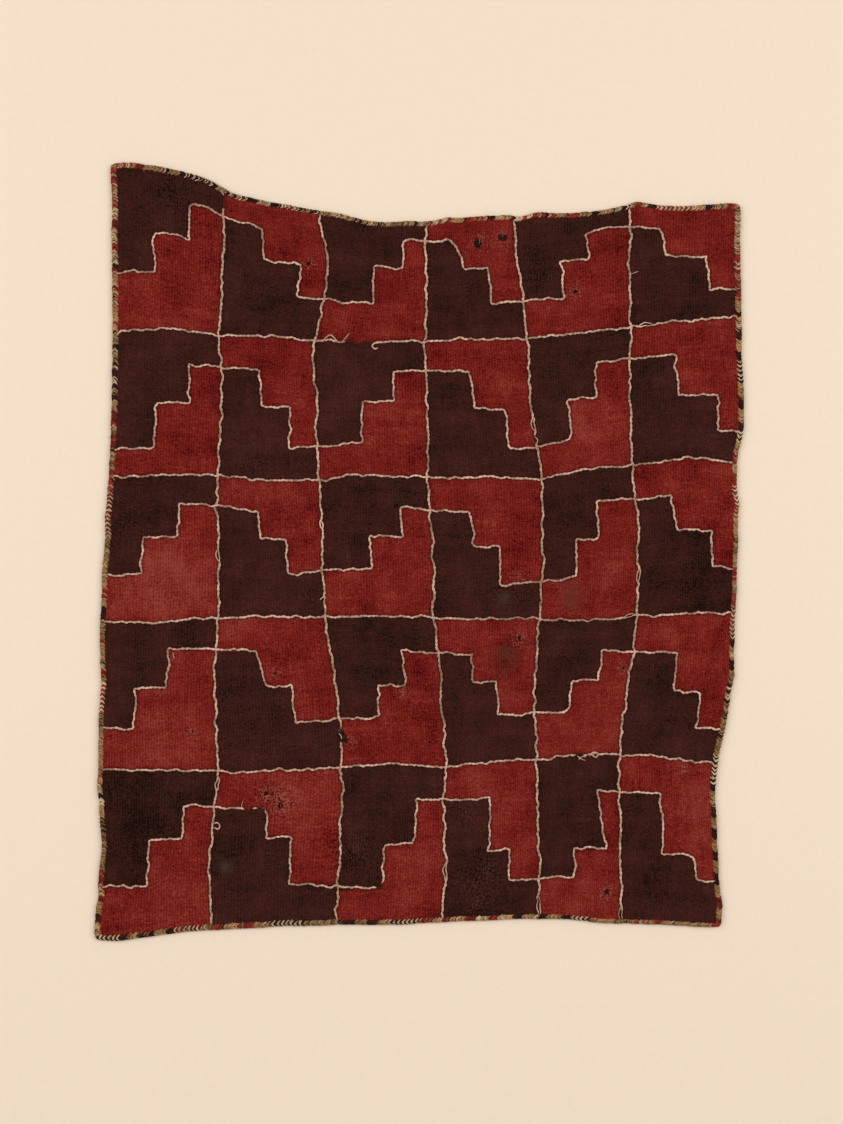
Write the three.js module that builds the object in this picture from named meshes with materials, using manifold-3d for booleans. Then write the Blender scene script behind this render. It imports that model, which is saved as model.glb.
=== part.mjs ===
// A hand-woven wool cloth of stepped panels, with stitched outlines and a looped edge binding.
// It lies face up on z = 0, in millimetres, +Z up, with the top of the pattern towards +Y.
import * as THREE from "three";
import { mergeVertices } from "three/addons/utils/BufferGeometryUtils.js";
import Module from "manifold-3d";

const wasm = await Module();
wasm.setup();

// Cloth
const CLOTH_THICKNESS = 1.0;
const COCKLE_RISE = 0.4; // the upper face swells this much between its low spots
const COCKLE_LENGTH = 95;
const COCKLE_SLANT = 0.3; // its crests lie a little askew to the panels
const RIM_LIFT = 0.9; // the binding's lower lip holds the edge up
const RIM_LEVEL = 6.5; // the edge stays lifted this far in, and is flat on the table at RIM_FLAT
const RIM_FLAT = 13.5;
const EDGE_INSET = 1.5; // from the binding's outer line to the cloth's edge
const RIM_LINE = 6; // the grid's first line inside the edge
const GAP = 0.3; // between neighbouring pieces

// Outline stitching
const OUTLINE_WIDTH = 2.1;
const OUTLINE_CREST = 1.0; // width of its rounded top
const OUTLINE_HEIGHT = 0.9;
const OUTLINE_STEP = 14; // longest straight stretch
const OUTLINE_GAP = 0.35; // above the cloth, a little over GAP because the cloth curves between steps

// Edge binding: how far it covers the cloth's face on each side
const BINDING_WIDTH = { top: 2.4, right: 3.6, bottom: 3.2, left: 3.8 };
const BINDING_LIP = 0.6; // thickness of the turn under the cloth
const BINDING_HEIGHT = 2.9;
const BINDING_UNDERLAP = 0.85; // how far it turns under, as a share of its width on the face
const BINDING_ROUND = 0.4; // its edges are rounded off by this much
const BINDING_WALL = 1.1; // thickness beside the cloth's edge
const CORNER_CUT = 4; // where the corner starts to round off
const CORNER_INSET = 1.7; // the cloth's corner is this many times further in than its edge

// The panels: six columns, five rows. Every line of the grid wanders, because the panels were
// woven by hand, so each row below is one line, in mm from the middle of the cloth.
const COLUMNS = 6;
const ROWS = 5;
const STOPS_PER_COLUMN = 4;
const STOPS_PER_ROW = 5;

// Distance to the right, read at the top edge, half way down each row and at each row line
const COLUMN_LINES = [
  [-168, -167.5, -167, -167.5, -169, -171.5, -173.5, -174.5, -174.5, -174, -177], // left edge
  [-107, -107, -109, -107.5, -110, -109.5, -110, -111.5, -110, -114, -113.5],
  [-55, -51, -57.5, -56.5, -55.5, -53.5, -52, -46, -43, -44, -46.5],
  [3.5, 2.5, 2, 3, 3.5, 6, 7, 10.5, 12.5, 13, 11.5],
  [49.5, 53, 57, 59.5, 64.5, 65.5, 64, 61, 62, 63, 64],
  [113, 112, 113, 112.5, 114, 117, 116, 111.5, 106.5, 107.5, 107.5],
  [173, 173, 173, 174.5, 170.5, 171, 169.5, 167.5, 160, 160, 162.5], // right edge
];

// Distance up, read at the left edge, half way along each column and at each column line
const ROW_LINES = [
  [215.5, 213, 202, 194, 189.5, 184, 184, 186.5, 187.5, 189, 193.5, 193, 194], // top
  [123.5, 126, 122.5, 122, 119.5, 118.5, 119.5, 120, 121, 123.5, 127, 130.5, 132],
  [46.5, 46.5, 47, 43.5, 45, 47, 45.5, 45.5, 45, 49.5, 52, 55.5, 54],
  [-32.5, -32, -29.5, -29, -29, -29, -30.5, -31, -30, -31, -29.5, -28, -27.5],
  [-112, -112.5, -113, -112.5, -110.5, -109, -110.5, -107.5, -106.5, -104, -104, -105.5, -108.5],
  [-204, -202, -199, -197.5, -196, -196, -194.5, -193.5, -192, -193.5, -195.5, -196, -197.5], // bottom
];

// The stepped line in each panel, in percent of the panel's width and height
const STEP_COLUMNS = ["lowRiser", "highRiser", "highTread", "middleTread", "lowTread", "lean"];
const STEPS = [
  [[39, 70, 19, 42, 65, 0], [75, 39, 20, 44, 68, 0], [48, 76, 15, 38, 68, 0],
    [67, 36, 18, 42, 71, 12], [38, 62, 17, 40, 70, 0], [70, 30, 21, 45, 76, 4]],
  [[40, 70, 23, 50, 81, 0], [72, 41, 24, 48, 77, 0], [41, 70, 22, 45, 76, 0],
    [75, 43, 22, 50, 79, 3], [38, 65, 22, 48, 76, 0], [77, 40, 24, 54, 79, 2]],
  [[34, 65, 20, 42, 67, -2], [66, 40, 23, 43, 69, 0], [44, 73, 22, 43, 66, 0],
    [61, 37, 24, 49, 77, 2], [35, 59, 21, 46, 71, 0], [74, 37, 23, 46, 70, 3]],
  [[31, 59, 19, 45, 72, 0], [64, 39, 24, 45, 70, 7], [40, 66, 23, 46, 68, 0],
    [59, 35, 23, 44, 68, -2], [39, 68, 23, 45, 68, 0], [72, 44, 27, 54, 78, 0]],
  [[44, 74, 21, 42, 69, 2], [61, 41, 24, 43, 73, 3], [42, 71, 21, 50, 77, -3],
    [69, 47, 22, 56, 75, -4], [43, 78, 21, 56, 74, 10], [74, 42, 22, 58, 72, 0]],
];

// Worn holes wide enough to see through: middle, size and turn
const HOLES = [
  { x: 44, y: 175.5, width: 4.3, height: 2.2, turn: -8 },
  { x: 30.5, y: 173, width: 3.2, height: 5.4, turn: 12 },
  { x: -41, y: -94, width: 4.3, height: 7.6, turn: 25 },
];
const HOLE_SIDES = 8;
const PUNCH_LENGTH = 6;

const { lerp, smoothstep, degToRad } = THREE.MathUtils;

// The grid of panels
const lineCurve = (values) =>
  new THREE.SplineCurve(values.map((value, station) => new THREE.Vector2(station, value)));
const columnCurves = COLUMN_LINES.map(lineCurve);
const rowCurves = ROW_LINES.map(lineCurve);
const readLine = (curve, panels) => curve.getPoint((2 * panels) / (curve.points.length - 1)).y;

// A point of the cloth, counted in panels from the left edge and down from the top edge
function panelPoint(across, down) {
  const column = Math.min(Math.floor(across), COLUMNS - 1);
  const row = Math.min(Math.floor(down), ROWS - 1);
  const [left, right] = [column, column + 1].map((line) => readLine(columnCurves[line], down));
  const [above, below] = [row, row + 1].map((line) => readLine(rowCurves[line], across));
  return new THREE.Vector2(lerp(left, right, across - column), lerp(above, below, down - row));
}

// How far a point lies inside the nearest edge
function edgeDistance(point, across, down) {
  return Math.min(
    point.x - readLine(columnCurves[0], down),
    readLine(columnCurves[COLUMNS], down) - point.x,
    readLine(rowCurves[0], across) - point.y,
    point.y - readLine(rowCurves[ROWS], across),
  );
}

const underside = (inside) => RIM_LIFT * (1 - smoothstep(inside, RIM_LEVEL, RIM_FLAT));

function upperFace(point, inside) {
  const turn = (2 * Math.PI) / COCKLE_LENGTH;
  const along = Math.sin(turn * (point.x + COCKLE_SLANT * point.y));
  const wave = along * Math.cos(turn * (point.y - COCKLE_SLANT * point.x));
  const swell = 0.5 * COCKLE_RISE * (1 + wave) * smoothstep(inside, RIM_LEVEL, RIM_FLAT);
  return underside(inside) + CLOTH_THICKNESS + swell;
}

// Solids
const toSolid = (geometry) => {
  geometry.deleteAttribute("normal");
  geometry.deleteAttribute("uv");
  const merged = mergeVertices(geometry, 1e-4);
  const mesh = new wasm.Mesh({
    numProp: 3,
    vertProperties: new Float32Array(merged.attributes.position.array),
    triVerts: new Uint32Array(merged.index.array),
  });
  return new wasm.Manifold(mesh);
};

const toGeometry = (solid) => {
  const mesh = solid.getMesh();
  const geometry = new THREE.BufferGeometry();
  geometry.setAttribute("position", new THREE.BufferAttribute(mesh.vertProperties, mesh.numProp));
  geometry.setIndex(new THREE.BufferAttribute(mesh.triVerts, 1));
  geometry.computeVertexNormals();
  return geometry;
};

// Skin a run of sections, each a ring of Vector3 that turns right-handed about the way ahead
function skin(sections, closed) {
  const sides = sections[0].length;
  const index = [];
  const joins = closed ? sections.length : sections.length - 1;
  for (let k = 0; k < joins; k += 1) {
    const here = k * sides;
    const next = ((k + 1) % sections.length) * sides;
    for (let i = 0; i < sides; i += 1) {
      const j = (i + 1) % sides;
      index.push(here + i, here + j, next + j, here + i, next + j, next + i);
    }
  }
  if (!closed) {
    const last = (sections.length - 1) * sides;
    for (let i = 1; i < sides - 1; i += 1) {
      index.push(0, i + 1, i, last, last + i, last + i + 1);
    }
  }
  const geometry = new THREE.BufferGeometry().setFromPoints(sections.flat());
  geometry.setIndex(index);
  return geometry;
}

// Left-hand normals along a path, lengthened at the bends so that a strip keeps its width there
function mitres(points, closed) {
  const count = points.length;
  return points.map((point, k) => {
    const before = closed ? points[(k + count - 1) % count] : points[Math.max(k - 1, 0)];
    const after = closed ? points[(k + 1) % count] : points[Math.min(k + 1, count - 1)];
    const ways = [[before, point], [point, after]]
      .map(([from, to]) => to.clone().sub(from))
      .filter((way) => way.lengthSq() > 0)
      .map((way) => way.normalize());
    const ahead = ways[0].clone().add(ways[ways.length - 1]).normalize();
    const normal = new THREE.Vector2(-ahead.y, ahead.x);
    return normal.divideScalar(ahead.dot(ways[0]));
  });
}

// Cloth: a grid of points on both faces, with a line close to the edge where it lifts
function gridStops(panels, perPanel) {
  const inner = Array.from({ length: panels * perPanel - 1 }, (_, k) => [(k + 1) / perPanel, 0]);
  const rim = [EDGE_INSET, RIM_LINE];
  return [...rim.map((inset) => [0, inset]), ...inner, ...rim.reverse().map((inset) => [panels, -inset])];
}

function makeCloth() {
  const acrossStops = gridStops(COLUMNS, STOPS_PER_COLUMN);
  const downStops = gridStops(ROWS, STOPS_PER_ROW);
  const [wide, high] = [acrossStops.length - 1, downStops.length - 1];
  const grid = new THREE.BoxGeometry(wide, high, 1, wide, high, 1);
  const position = grid.attributes.position;
  for (let k = 0; k < position.count; k += 1) {
    const [across, insetX] = acrossStops[Math.round(position.getX(k) + wide / 2)];
    const [down, insetY] = downStops[Math.round(high / 2 - position.getY(k))];
    const isCorner = Math.abs(insetX) === EDGE_INSET && Math.abs(insetY) === EDGE_INSET;
    const inset = new THREE.Vector2(insetX, -insetY).multiplyScalar(isCorner ? CORNER_INSET : 1);
    const point = panelPoint(across, down).add(inset);
    const inside = edgeDistance(point, across, down);
    const height = position.getZ(k) > 0 ? upperFace(point, inside) : underside(inside);
    position.setXYZ(k, point.x, point.y, height);
  }
  const punches = HOLES.map((hole) => toSolid(makePunch(hole)));
  return toGeometry(punches.reduce((cloth, punch) => cloth.subtract(punch), toSolid(grid)));
}

function makePunch({ x, y, width, height, turn }) {
  const punch = new THREE.CylinderGeometry(0.5, 0.5, PUNCH_LENGTH, HOLE_SIDES);
  return punch.rotateX(Math.PI / 2).scale(width, height, 1).rotateZ(degToRad(turn)).translate(x, y, 0);
}

// Outline stitching: one strip along each line, joined into a net
function outlineStrip(stations) {
  const points = stations.map(([across, down]) => panelPoint(across, down));
  const sides = mitres(points, false);
  const sections = points.map((point, k) => {
    const inside = edgeDistance(point, ...stations[k]);
    const foot = upperFace(point, inside) + OUTLINE_GAP;
    const corner = (out, rise) =>
      new THREE.Vector3(point.x + out * sides[k].x, point.y + out * sides[k].y, foot + rise);
    return [
      corner(OUTLINE_WIDTH / 2, 0),
      corner(OUTLINE_CREST / 2, OUTLINE_HEIGHT),
      corner(-OUTLINE_CREST / 2, OUTLINE_HEIGHT),
      corner(-OUTLINE_WIDTH / 2, 0),
    ];
  });
  return toSolid(skin(sections, false));
}

// Fill a run of stations so that no stretch is longer than OUTLINE_STEP
function fill(stations) {
  const filled = [stations[0]];
  stations.slice(1).forEach((end, k) => {
    const start = stations[k];
    const length = panelPoint(...start).distanceTo(panelPoint(...end));
    const parts = Math.max(Math.ceil(length / OUTLINE_STEP), 1);
    for (let part = 1; part <= parts; part += 1) {
      filled.push([lerp(start[0], end[0], part / parts), lerp(start[1], end[1], part / parts)]);
    }
  });
  return filled;
}

// The same distance as a share of the panel beside an edge
const shareAcross = (column, down, distance) => {
  const [left, right] = [column, column + 1].map((line) => readLine(columnCurves[line], down));
  return distance / (right - left);
};
const shareDown = (row, across, distance) => {
  const [above, below] = [row, row + 1].map((line) => readLine(rowCurves[line], across));
  return distance / (above - below);
};

// Where a line across the cloth starts and ends, clear of the binding
const leftEnd = (down) => shareAcross(0, down, BINDING_WIDTH.left + 2 * GAP);
const rightEnd = (down) => COLUMNS - shareAcross(COLUMNS - 1, down, BINDING_WIDTH.right + 2 * GAP);
const topEnd = (across) => shareDown(0, across, BINDING_WIDTH.top + 2 * GAP);
const bottomEnd = (across) => ROWS - shareDown(ROWS - 1, across, BINDING_WIDTH.bottom + 2 * GAP);

const namedSteps = (percents) =>
  Object.fromEntries(STEP_COLUMNS.map((name, k) => [name, percents[k] / 100]));

// One stepped line across the cloth: it climbs in every other panel and comes down in the next
function steppedLine(row) {
  const panels = STEPS[row].map(namedSteps);
  const stations = [];
  panels.forEach(({ lowRiser, highRiser, highTread, middleTread, lowTread, lean }, column) => {
    const climbs = column % 2 === 0;
    const rising = [
      [column + lowRiser, row + lowTread],
      [column + lowRiser, row + middleTread],
      [column + highRiser + lean / 2, row + middleTread],
      [column + highRiser - lean / 2, row + highTread],
    ];
    stations.push(...(climbs ? rising : rising.reverse()));
    if (column < COLUMNS - 1) {
      const tread = climbs ? "highTread" : "lowTread";
      stations.push([column + 1, row + (panels[column][tread] + panels[column + 1][tread]) / 2]);
    }
  });
  const [first, last] = [panels[0], panels[COLUMNS - 1]].map(({ lowTread }) => row + lowTread);
  return fill([[leftEnd(first), first], ...stations, [rightEnd(last), last]]);
}

// The numbers of the lines between the panels, without the two edges
const innerLines = (panels) => Array.from({ length: panels - 1 }, (_, k) => k + 1);

function rowLine(row) {
  const crossings = innerLines(COLUMNS).map((column) => [column, row]);
  return fill([[leftEnd(row), row], ...crossings, [rightEnd(row), row]]);
}

function columnLine(column) {
  const crossings = innerLines(ROWS).map((row) => [column, row]);
  return fill([[column, topEnd(column)], ...crossings, [column, bottomEnd(column)]]);
}

function makeOutlines() {
  const lines = [
    ...innerLines(ROWS).map(rowLine),
    ...innerLines(COLUMNS).map(columnLine),
    ...STEPS.map((_, row) => steppedLine(row)),
  ];
  return toGeometry(lines.map(outlineStrip).reduce((net, strip) => net.add(strip)));
}

// Edge binding: a closed ring with a slot that takes the cloth's edge
function bindingSection(width) {
  const slotHead = RIM_LIFT + CLOTH_THICKNESS + GAP;
  const underlap = BINDING_UNDERLAP * width;
  return [
    [0, BINDING_HEIGHT / 2], // outermost line
    [BINDING_ROUND, BINDING_ROUND],
    [2 * BINDING_ROUND, 0],
    [underlap - BINDING_ROUND, 0],
    [underlap, BINDING_LIP], // slot for the cloth's edge
    [BINDING_WALL, BINDING_LIP],
    [BINDING_WALL, slotHead],
    [width, slotHead],
    [width - BINDING_ROUND, slotHead + BINDING_ROUND],
    [width / 2, BINDING_HEIGHT], // crown
    [BINDING_ROUND, BINDING_HEIGHT - BINDING_ROUND],
  ];
}

// One side's points, going anticlockwise round the cloth, without its two corners
function sidePoints(from, to, stops, width) {
  const ends = [panelPoint(...from), panelPoint(...to)];
  const points = Array.from({ length: stops - 1 }, (_, k) => {
    const part = (k + 1) / stops;
    return panelPoint(lerp(from[0], to[0], part), lerp(from[1], to[1], part));
  });
  const towards = (corner, point) => corner.clone().add(point.clone().sub(corner).setLength(CORNER_CUT));
  const first = towards(ends[0], points[0]);
  const last = towards(ends[1], points[points.length - 1]);
  return [first, ...points, last].map((point) => ({ point, width }));
}

function makeBinding() {
  const corners = [[0, 0], [0, ROWS], [COLUMNS, ROWS], [COLUMNS, 0]];
  const sides = ["left", "bottom", "right", "top"].map((side, k) => {
    const upright = k % 2 === 0;
    const stops = upright ? ROWS * STOPS_PER_ROW : COLUMNS * STOPS_PER_COLUMN;
    return sidePoints(corners[k], corners[(k + 1) % 4], stops, BINDING_WIDTH[side]);
  });
  const ring = sides.flatMap((side, k) => {
    const next = sides[(k + 1) % 4][0];
    const last = side[side.length - 1];
    const corner = panelPoint(...corners[(k + 1) % 4]);
    const chord = last.point.clone().lerp(next.point, 0.5);
    return [...side, { point: chord.lerp(corner, 0.5), width: (last.width + next.width) / 2 }];
  });
  const inward = mitres(ring.map(({ point }) => point), true);
  const sections = ring.map(({ point, width }, k) =>
    bindingSection(width).map(([depth, rise]) =>
      new THREE.Vector3(point.x + depth * inward[k].x, point.y + depth * inward[k].y, rise)));
  return skin(sections, true);
}

// Wool dyed madder red, natural cream and golden tan
const wool = (color) => new THREE.MeshStandardMaterial({ color, roughness: 0.95, metalness: 0 });
const PIECES = [
  ["cloth", makeCloth(), wool(0x72251f)],
  ["outline_stitching", makeOutlines(), wool(0xd8b48a)],
  ["edge_binding", makeBinding(), wool(0xa87c4c)],
];

const fragment = new THREE.Group();
for (const [name, geometry, material] of PIECES) {
  const mesh = new THREE.Mesh(geometry, material);
  mesh.name = name;
  fragment.add(mesh);
}

// The origin goes to the middle of the outline, on the table
const middle = new THREE.Box3().setFromObject(fragment).getCenter(new THREE.Vector3());
fragment.children.forEach((mesh) => mesh.position.set(-middle.x, -middle.y, 0));

export default fragment;
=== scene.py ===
import math
from collections import namedtuple

import bpy
import numpy as np
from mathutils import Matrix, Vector, kdtree, noise


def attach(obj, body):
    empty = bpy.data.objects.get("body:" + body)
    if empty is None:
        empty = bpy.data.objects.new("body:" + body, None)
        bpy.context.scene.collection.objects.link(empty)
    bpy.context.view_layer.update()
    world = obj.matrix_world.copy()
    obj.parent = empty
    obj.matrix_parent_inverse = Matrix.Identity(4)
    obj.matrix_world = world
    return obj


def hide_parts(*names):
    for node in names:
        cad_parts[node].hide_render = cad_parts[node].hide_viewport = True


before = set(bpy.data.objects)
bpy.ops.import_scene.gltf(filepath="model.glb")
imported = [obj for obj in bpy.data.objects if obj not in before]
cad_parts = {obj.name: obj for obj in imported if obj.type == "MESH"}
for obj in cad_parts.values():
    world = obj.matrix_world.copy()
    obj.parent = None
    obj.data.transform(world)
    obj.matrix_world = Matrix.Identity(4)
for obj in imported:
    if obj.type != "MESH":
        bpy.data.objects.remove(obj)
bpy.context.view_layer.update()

bl_info = {
    "name": "Stepped-panel textile",
    "version": (1, 0, 0),
    "blender": (4, 5, 0),
    "location": "3D View > Sidebar > Textile",
    "description": "Weaves, outlines and binds a hand-made wool textile of stepped panels",
    "category": "Add Mesh",
}

MM = 0.001
SEED = 7
BODY = "root"
UP = np.array([0, 0, 1.0])

# The photograph's frame, and the size of one of its pixels on the cloth
PHOTO_HEIGHT_PX = 1124
PIXEL_MM = 0.54

# The panels. Each row of a table is one hand-woven line, in mm from the middle of the view,
# read at both ends, at each line that it crosses and half way between
COLUMNS = 6
ROWS = 5
STATIONS_PER_PANEL = 2
VIEW_MIDDLE = np.array([1.11, -5.78])  # where the tables' zero lies in the frame, in mm
COLUMN_LINES = [
    [-168, -167.5, -167, -167.5, -169, -171.5, -173.5, -174.5, -174.5, -174, -177],
    [-107, -107, -109, -107.5, -110, -109.5, -110, -111.5, -110, -114, -113.5],
    [-55, -51, -57.5, -56.5, -55.5, -53.5, -52, -46, -43, -44, -46.5],
    [3.5, 2.5, 2, 3, 3.5, 6, 7, 10.5, 12.5, 13, 11.5],
    [49.5, 53, 57, 59.5, 64.5, 65.5, 64, 61, 62, 63, 64],
    [113, 112, 113, 112.5, 114, 117, 116, 111.5, 106.5, 107.5, 107.5],
    [173, 173, 173, 174.5, 170.5, 171, 169.5, 167.5, 160, 160, 162.5],
]
ROW_LINES = [
    [215.5, 213, 202, 194, 189.5, 184, 184, 186.5, 187.5, 189, 193.5, 193, 194],
    [123.5, 126, 122.5, 122, 119.5, 118.5, 119.5, 120, 121, 123.5, 127, 130.5, 132],
    [46.5, 46.5, 47, 43.5, 45, 47, 45.5, 45.5, 45, 49.5, 52, 55.5, 54],
    [-32.5, -32, -29.5, -29, -29, -29, -30.5, -31, -30, -31, -29.5, -28, -27.5],
    [-112, -112.5, -113, -112.5, -110.5, -109, -110.5, -107.5, -106.5, -104, -104, -105.5, -108.5],
    [-204, -202, -199, -197.5, -196, -196, -194.5, -193.5, -192, -193.5, -195.5, -196, -197.5],
]

# The stepped line in each panel, in percent of the panel: across to its low and high riser, down
# to its high, middle and low tread, and how far the high riser leans to the right on its way down
HIGH_TREAD = 2
LOW_TREAD = 4
STEPS = [
    [(39, 70, 19, 42, 65, 0), (75, 39, 20, 44, 68, 0), (48, 76, 15, 38, 68, 0),
     (67, 36, 18, 42, 71, 12), (38, 62, 17, 40, 70, 0), (70, 30, 21, 45, 76, 4)],
    [(40, 70, 23, 50, 81, 0), (72, 41, 24, 48, 77, 0), (41, 70, 22, 45, 76, 0),
     (75, 43, 22, 50, 79, 3), (38, 65, 22, 48, 76, 0), (77, 40, 24, 54, 79, 2)],
    [(34, 65, 20, 42, 67, -2), (66, 40, 23, 43, 69, 0), (44, 73, 22, 43, 66, 0),
     (61, 37, 24, 49, 77, 2), (35, 59, 21, 46, 71, 0), (74, 37, 23, 46, 70, 3)],
    [(31, 59, 19, 45, 72, 0), (64, 39, 24, 45, 70, 7), (40, 66, 23, 46, 68, 0),
     (59, 35, 23, 44, 68, -2), (39, 68, 23, 45, 68, 0), (72, 44, 27, 54, 78, 0)],
    [(44, 74, 21, 42, 69, 2), (61, 41, 24, 43, 73, 3), (42, 71, 21, 50, 77, -3),
     (69, 47, 22, 56, 75, -4), (43, 78, 21, 56, 74, 10), (74, 42, 22, 58, 72, 0)],
]

# Bumps of the hand-woven outline along each side, in mm: middle, reach and how far out. The top and
# the bottom are measured to the right from the middle of the view, and the sides up from it
EDGE_BUMPS = {
    "top": [(-158, 9, 0.8), (-118, 13, 1.7), (-101, 7, -1.1), (-74, 9, 0.8), (-46, 14, 0.8), (-7, 8, 0.8),
            (14, 7, 1.0), (52, 7, -1.0), (65, 8, 1.0), (98, 20, -1.5), (117, 6, 1.1), (137, 18, -0.9)],
    "right": [(172, 28, -0.8), (109, 18, -1.0), (71, 16, 1.7), (31, 6, 1.0), (-61, 7, 1.0),
              (-90, 16, 0.8), (-127, 12, -0.75), (-184, 6, 0.75)],
    "bottom": [(-163, 16, 1.4), (-125, 14, -0.5), (-74, 12, -0.8), (63, 12, 0.75), (94, 7, 0.6),
               (115, 14, -0.5)],
    "left": [(193, 16, -0.6), (25, 9, 0.75), (-5, 9, 0.5), (-66, 20, -1.2), (-120, 7, 0.8),
             (-153, 16, -1.0), (-180, 6, -0.7)],
}
BUMP_FADE = 22  # the bumps die out this far inside the edge

# Cloth, in mm
CLOTH_THICKNESS = 1.0
COCKLE_RISE = 0.4  # the upper face swells this much between its low spots
COCKLE_LENGTH = 95
COCKLE_SLANT = 0.3  # its crests lie a little askew to the panels
RIM_LIFT = 0.9  # the binding holds the edge up
RIM_LEVEL = 6.5  # the edge stays lifted this far in, and is flat at RIM_FLAT
RIM_FLAT = 13.5
EDGE_INSET = 1.5  # from the binding's outer line to the cloth's edge
INSET_FADE = 0.25  # of a panel, over which the inset dies out
CORNER_INSET = 0.7  # how much further in a corner lies, as a share of the inset
CORNER_SHARP = 8  # the higher, the closer that stays to the corner
CORNER_ROUND = 8
PUCKER = 0.14  # the outline stitches draw the cloth down this far
PUCKER_REACH = 2.6
RIPPLE = 0.22  # small unevenness of the hand weave
RIPPLE_LENGTH = 24
DRIFT_APART = 17.3  # how far apart the noise is read for two seeds
PANEL_SIZE = (57, 80)  # mean width and height
CELLS_PER_COLUMN = 28  # of the cloth's mesh
CELLS_PER_ROW = 40

# Worn spots: middle, width and height in mm, how far the wear spreads, and the turn in degrees
Spot = namedtuple("Spot", "x y width height wear turn", defaults=(0, 0))
# Holes right through
HOLES = [Spot(43.8, 175.3, 6.4, 3.4, wear=6), Spot(30.5, 172, 4, 6, wear=5),
         Spot(-42.8, -93.7, 10, 4.4, wear=0.3, turn=-55)]
# Pits where only dark threads are left
PITS = [Spot(*pit) for pit in (
    (-84, -125, 2.5, 1.9, 6), (-76, -131.5, 2.8, 3.1, 8), (100, -178, 2.5, 2.9, 5),
    (53, -41, 1.8, 3.1, 5), (-61, 161, 2, 2.2, 3), (83, 146, 2.3, 1.5, 5), (109, -57, 1.7, 1.6, 4),
    (-79, -60, 1.7, 1.4, 3), (-123.5, -91.5, 1.2, 1, 3))]
# Pits in the brown, where no thread is left
DARK_PITS = [Spot(*pit) for pit in (
    (-14, 30.5, 3.4, 2.8), (-38.4, -157.3, 1.6, 2), (-34, -161, 1.2, 1.4), (29.4, -172.3, 1.6, 2.2),
    (24.6, -176.6, 1.6, 1.4), (25, -135.5, 1, 1.6))]
PIT_DEPTH = 0.6
RIM_SHARE = 0.8  # faces whose middle is within this share of the radius are cut out
RAGGED = [(3, 0.18), (5, 0.12)]  # waves round a rim, and their height as a share of its radius
SPOT_WEAR = 0.8  # how strongly pale fibres show round a hole or a pit
THIN_WEAR = 0.5  # and in a thin spot
# Worn places without a pit: middle and reach in mm
THIN_SPOTS = [(-37.5, -97, 4), (-75, -127, 9), (-157, -13.5, 2.5), (52, -7.5, 5), (-10, -70.5, 5),
              (142, -112, 4)]
# Places where the brown is rubbed to reddish hairs: middle, reach in mm and strength
RUBBED_BROWN = [(36, -166, 9, 0.15), (29, -174, 6, 0.15), (24, -136, 6, 0.12), (-35, -155, 8, 0.1),
                (30, -184, 6, 0.2)]
# Grey smudges: middle, reach in mm and strength
SMUDGES = [(47, -50, 10, 0.5), (43, -60, 6, 0.3), (83, -14, 9, 0.45), (80, -22, 7, 0.45),
           (45, -19, 4.5, 0.7), (-105.5, -163.5, 5.5, 0.95)]
# Faded patches of the red, and patches where the brown has stayed nearly black: middle, reach in mm
# and strength. Below 0 the red is stained darker and the brown is paler
FADED_RED = [(-155, 138, 42, 0.08), (-133, -15, 45, 0.6), (-141, -96, 40, 0.45), (145, -130, 38, 0.28),
             (-133, -180, 40, 0.25), (-65, -128, 35, 0.3), (-10, -90, 45, 0.1), (-20, -12, 40, 0.25),
             (91, -178, 30, 0.3), (-10, 75, 18, 0.4), (97, 69, 28, 0.35), (90, -90, 30, 0.3),
             (-5, -174, 25, 0.25), (146, -47, 30, 0.35), (24, -44, 16, 0.3), (83, -14, 14, 0.25),
             (47, -51, 13, -0.45), (-76, 172, 32, -0.15), (150, 176, 36, -0.12)]
DARK_BROWN = [(-150, -140, 52, 0.4), (-160, -166, 16, 0.15), (-117, -123, 14, 0.2),
              (-128, -116, 12, -0.3), (-144, -139, 12, -0.12), (-28, -128, 20, 0.2), (-20, -155, 18, 0.2),
              (33, -172, 20, 0.2), (125, -178, 22, 0.2), (146, 143, 40, 0.25), (143, -5, 42, 0.25),
              (22, 138, 30, 0.2), (-140, 185, 25, -0.15), (-90, 70, 28, -0.35)]
# Patches where the weave is rubbed rough: middle, reach in mm and strength
ROUGH = [(-133, 196, 14, 0.8), (-86, 144, 14, 0.5), (61, 157, 15, 0.8), (-91, 52, 12, 0.9),
         (-159, 19, 18, 0.7), (-61, -18, 9, 0.7), (46, -19, 13, 0.9), (-106, -164, 11, 0.6),
         (-38, -157, 16, 1), (21, -134, 11, 0.8), (30, -172, 22, 1), (-5, 34, 9, 0.9), (140, -14, 9, 0.5),
         (123, -57, 10, 0.6), (-81, -52, 12, 0.25), (-54, -147, 10, 0.3), (156, 178, 22, 0.2),
         (-80, -128, 13, 0.6), (-134, -20, 9, 0.5), (130, -180, 22, 0.4)]

# Outline stitching, in mm
YARN_STEP = 0.65
YARN_SIDES = 6
YARN_CLEAR = 2.2  # the yarn ends this far inside the edge, under the binding
STEP_ROUND = 1.4  # the corners are rounded over this much
# Corners of the stepped lines that are sewn wide, how much they are rounded and how far that reaches
WIDE_CORNERS = [(-10.5, 172.8), (17.6, 172.3), (38.1, 140.4), (89.9, 177.7), (129.9, 179.3),
                (154.7, 150.1), (79.1, 69.1), (42.5, -12.5), (95.3, 16.2), (80.2, -76.7),
                (147.2, -170.6), (-124.5, 193.9)]
WIDE_ROUND = 6
WIDE_REACH = 10
WANDERS = [(18, 1.2), (5, 1.2), (2.2, 0.5)]  # wavelength of each sideways wander, and its reach
# How a yarn's two plies lie, in shares of a ply's radius: out from its middle, up from its middle,
# and the height of its middle above the cloth
PLY_OUT = 0.82
PLY_RISE = 0.62
PLY_LIFT = 1.05
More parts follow.
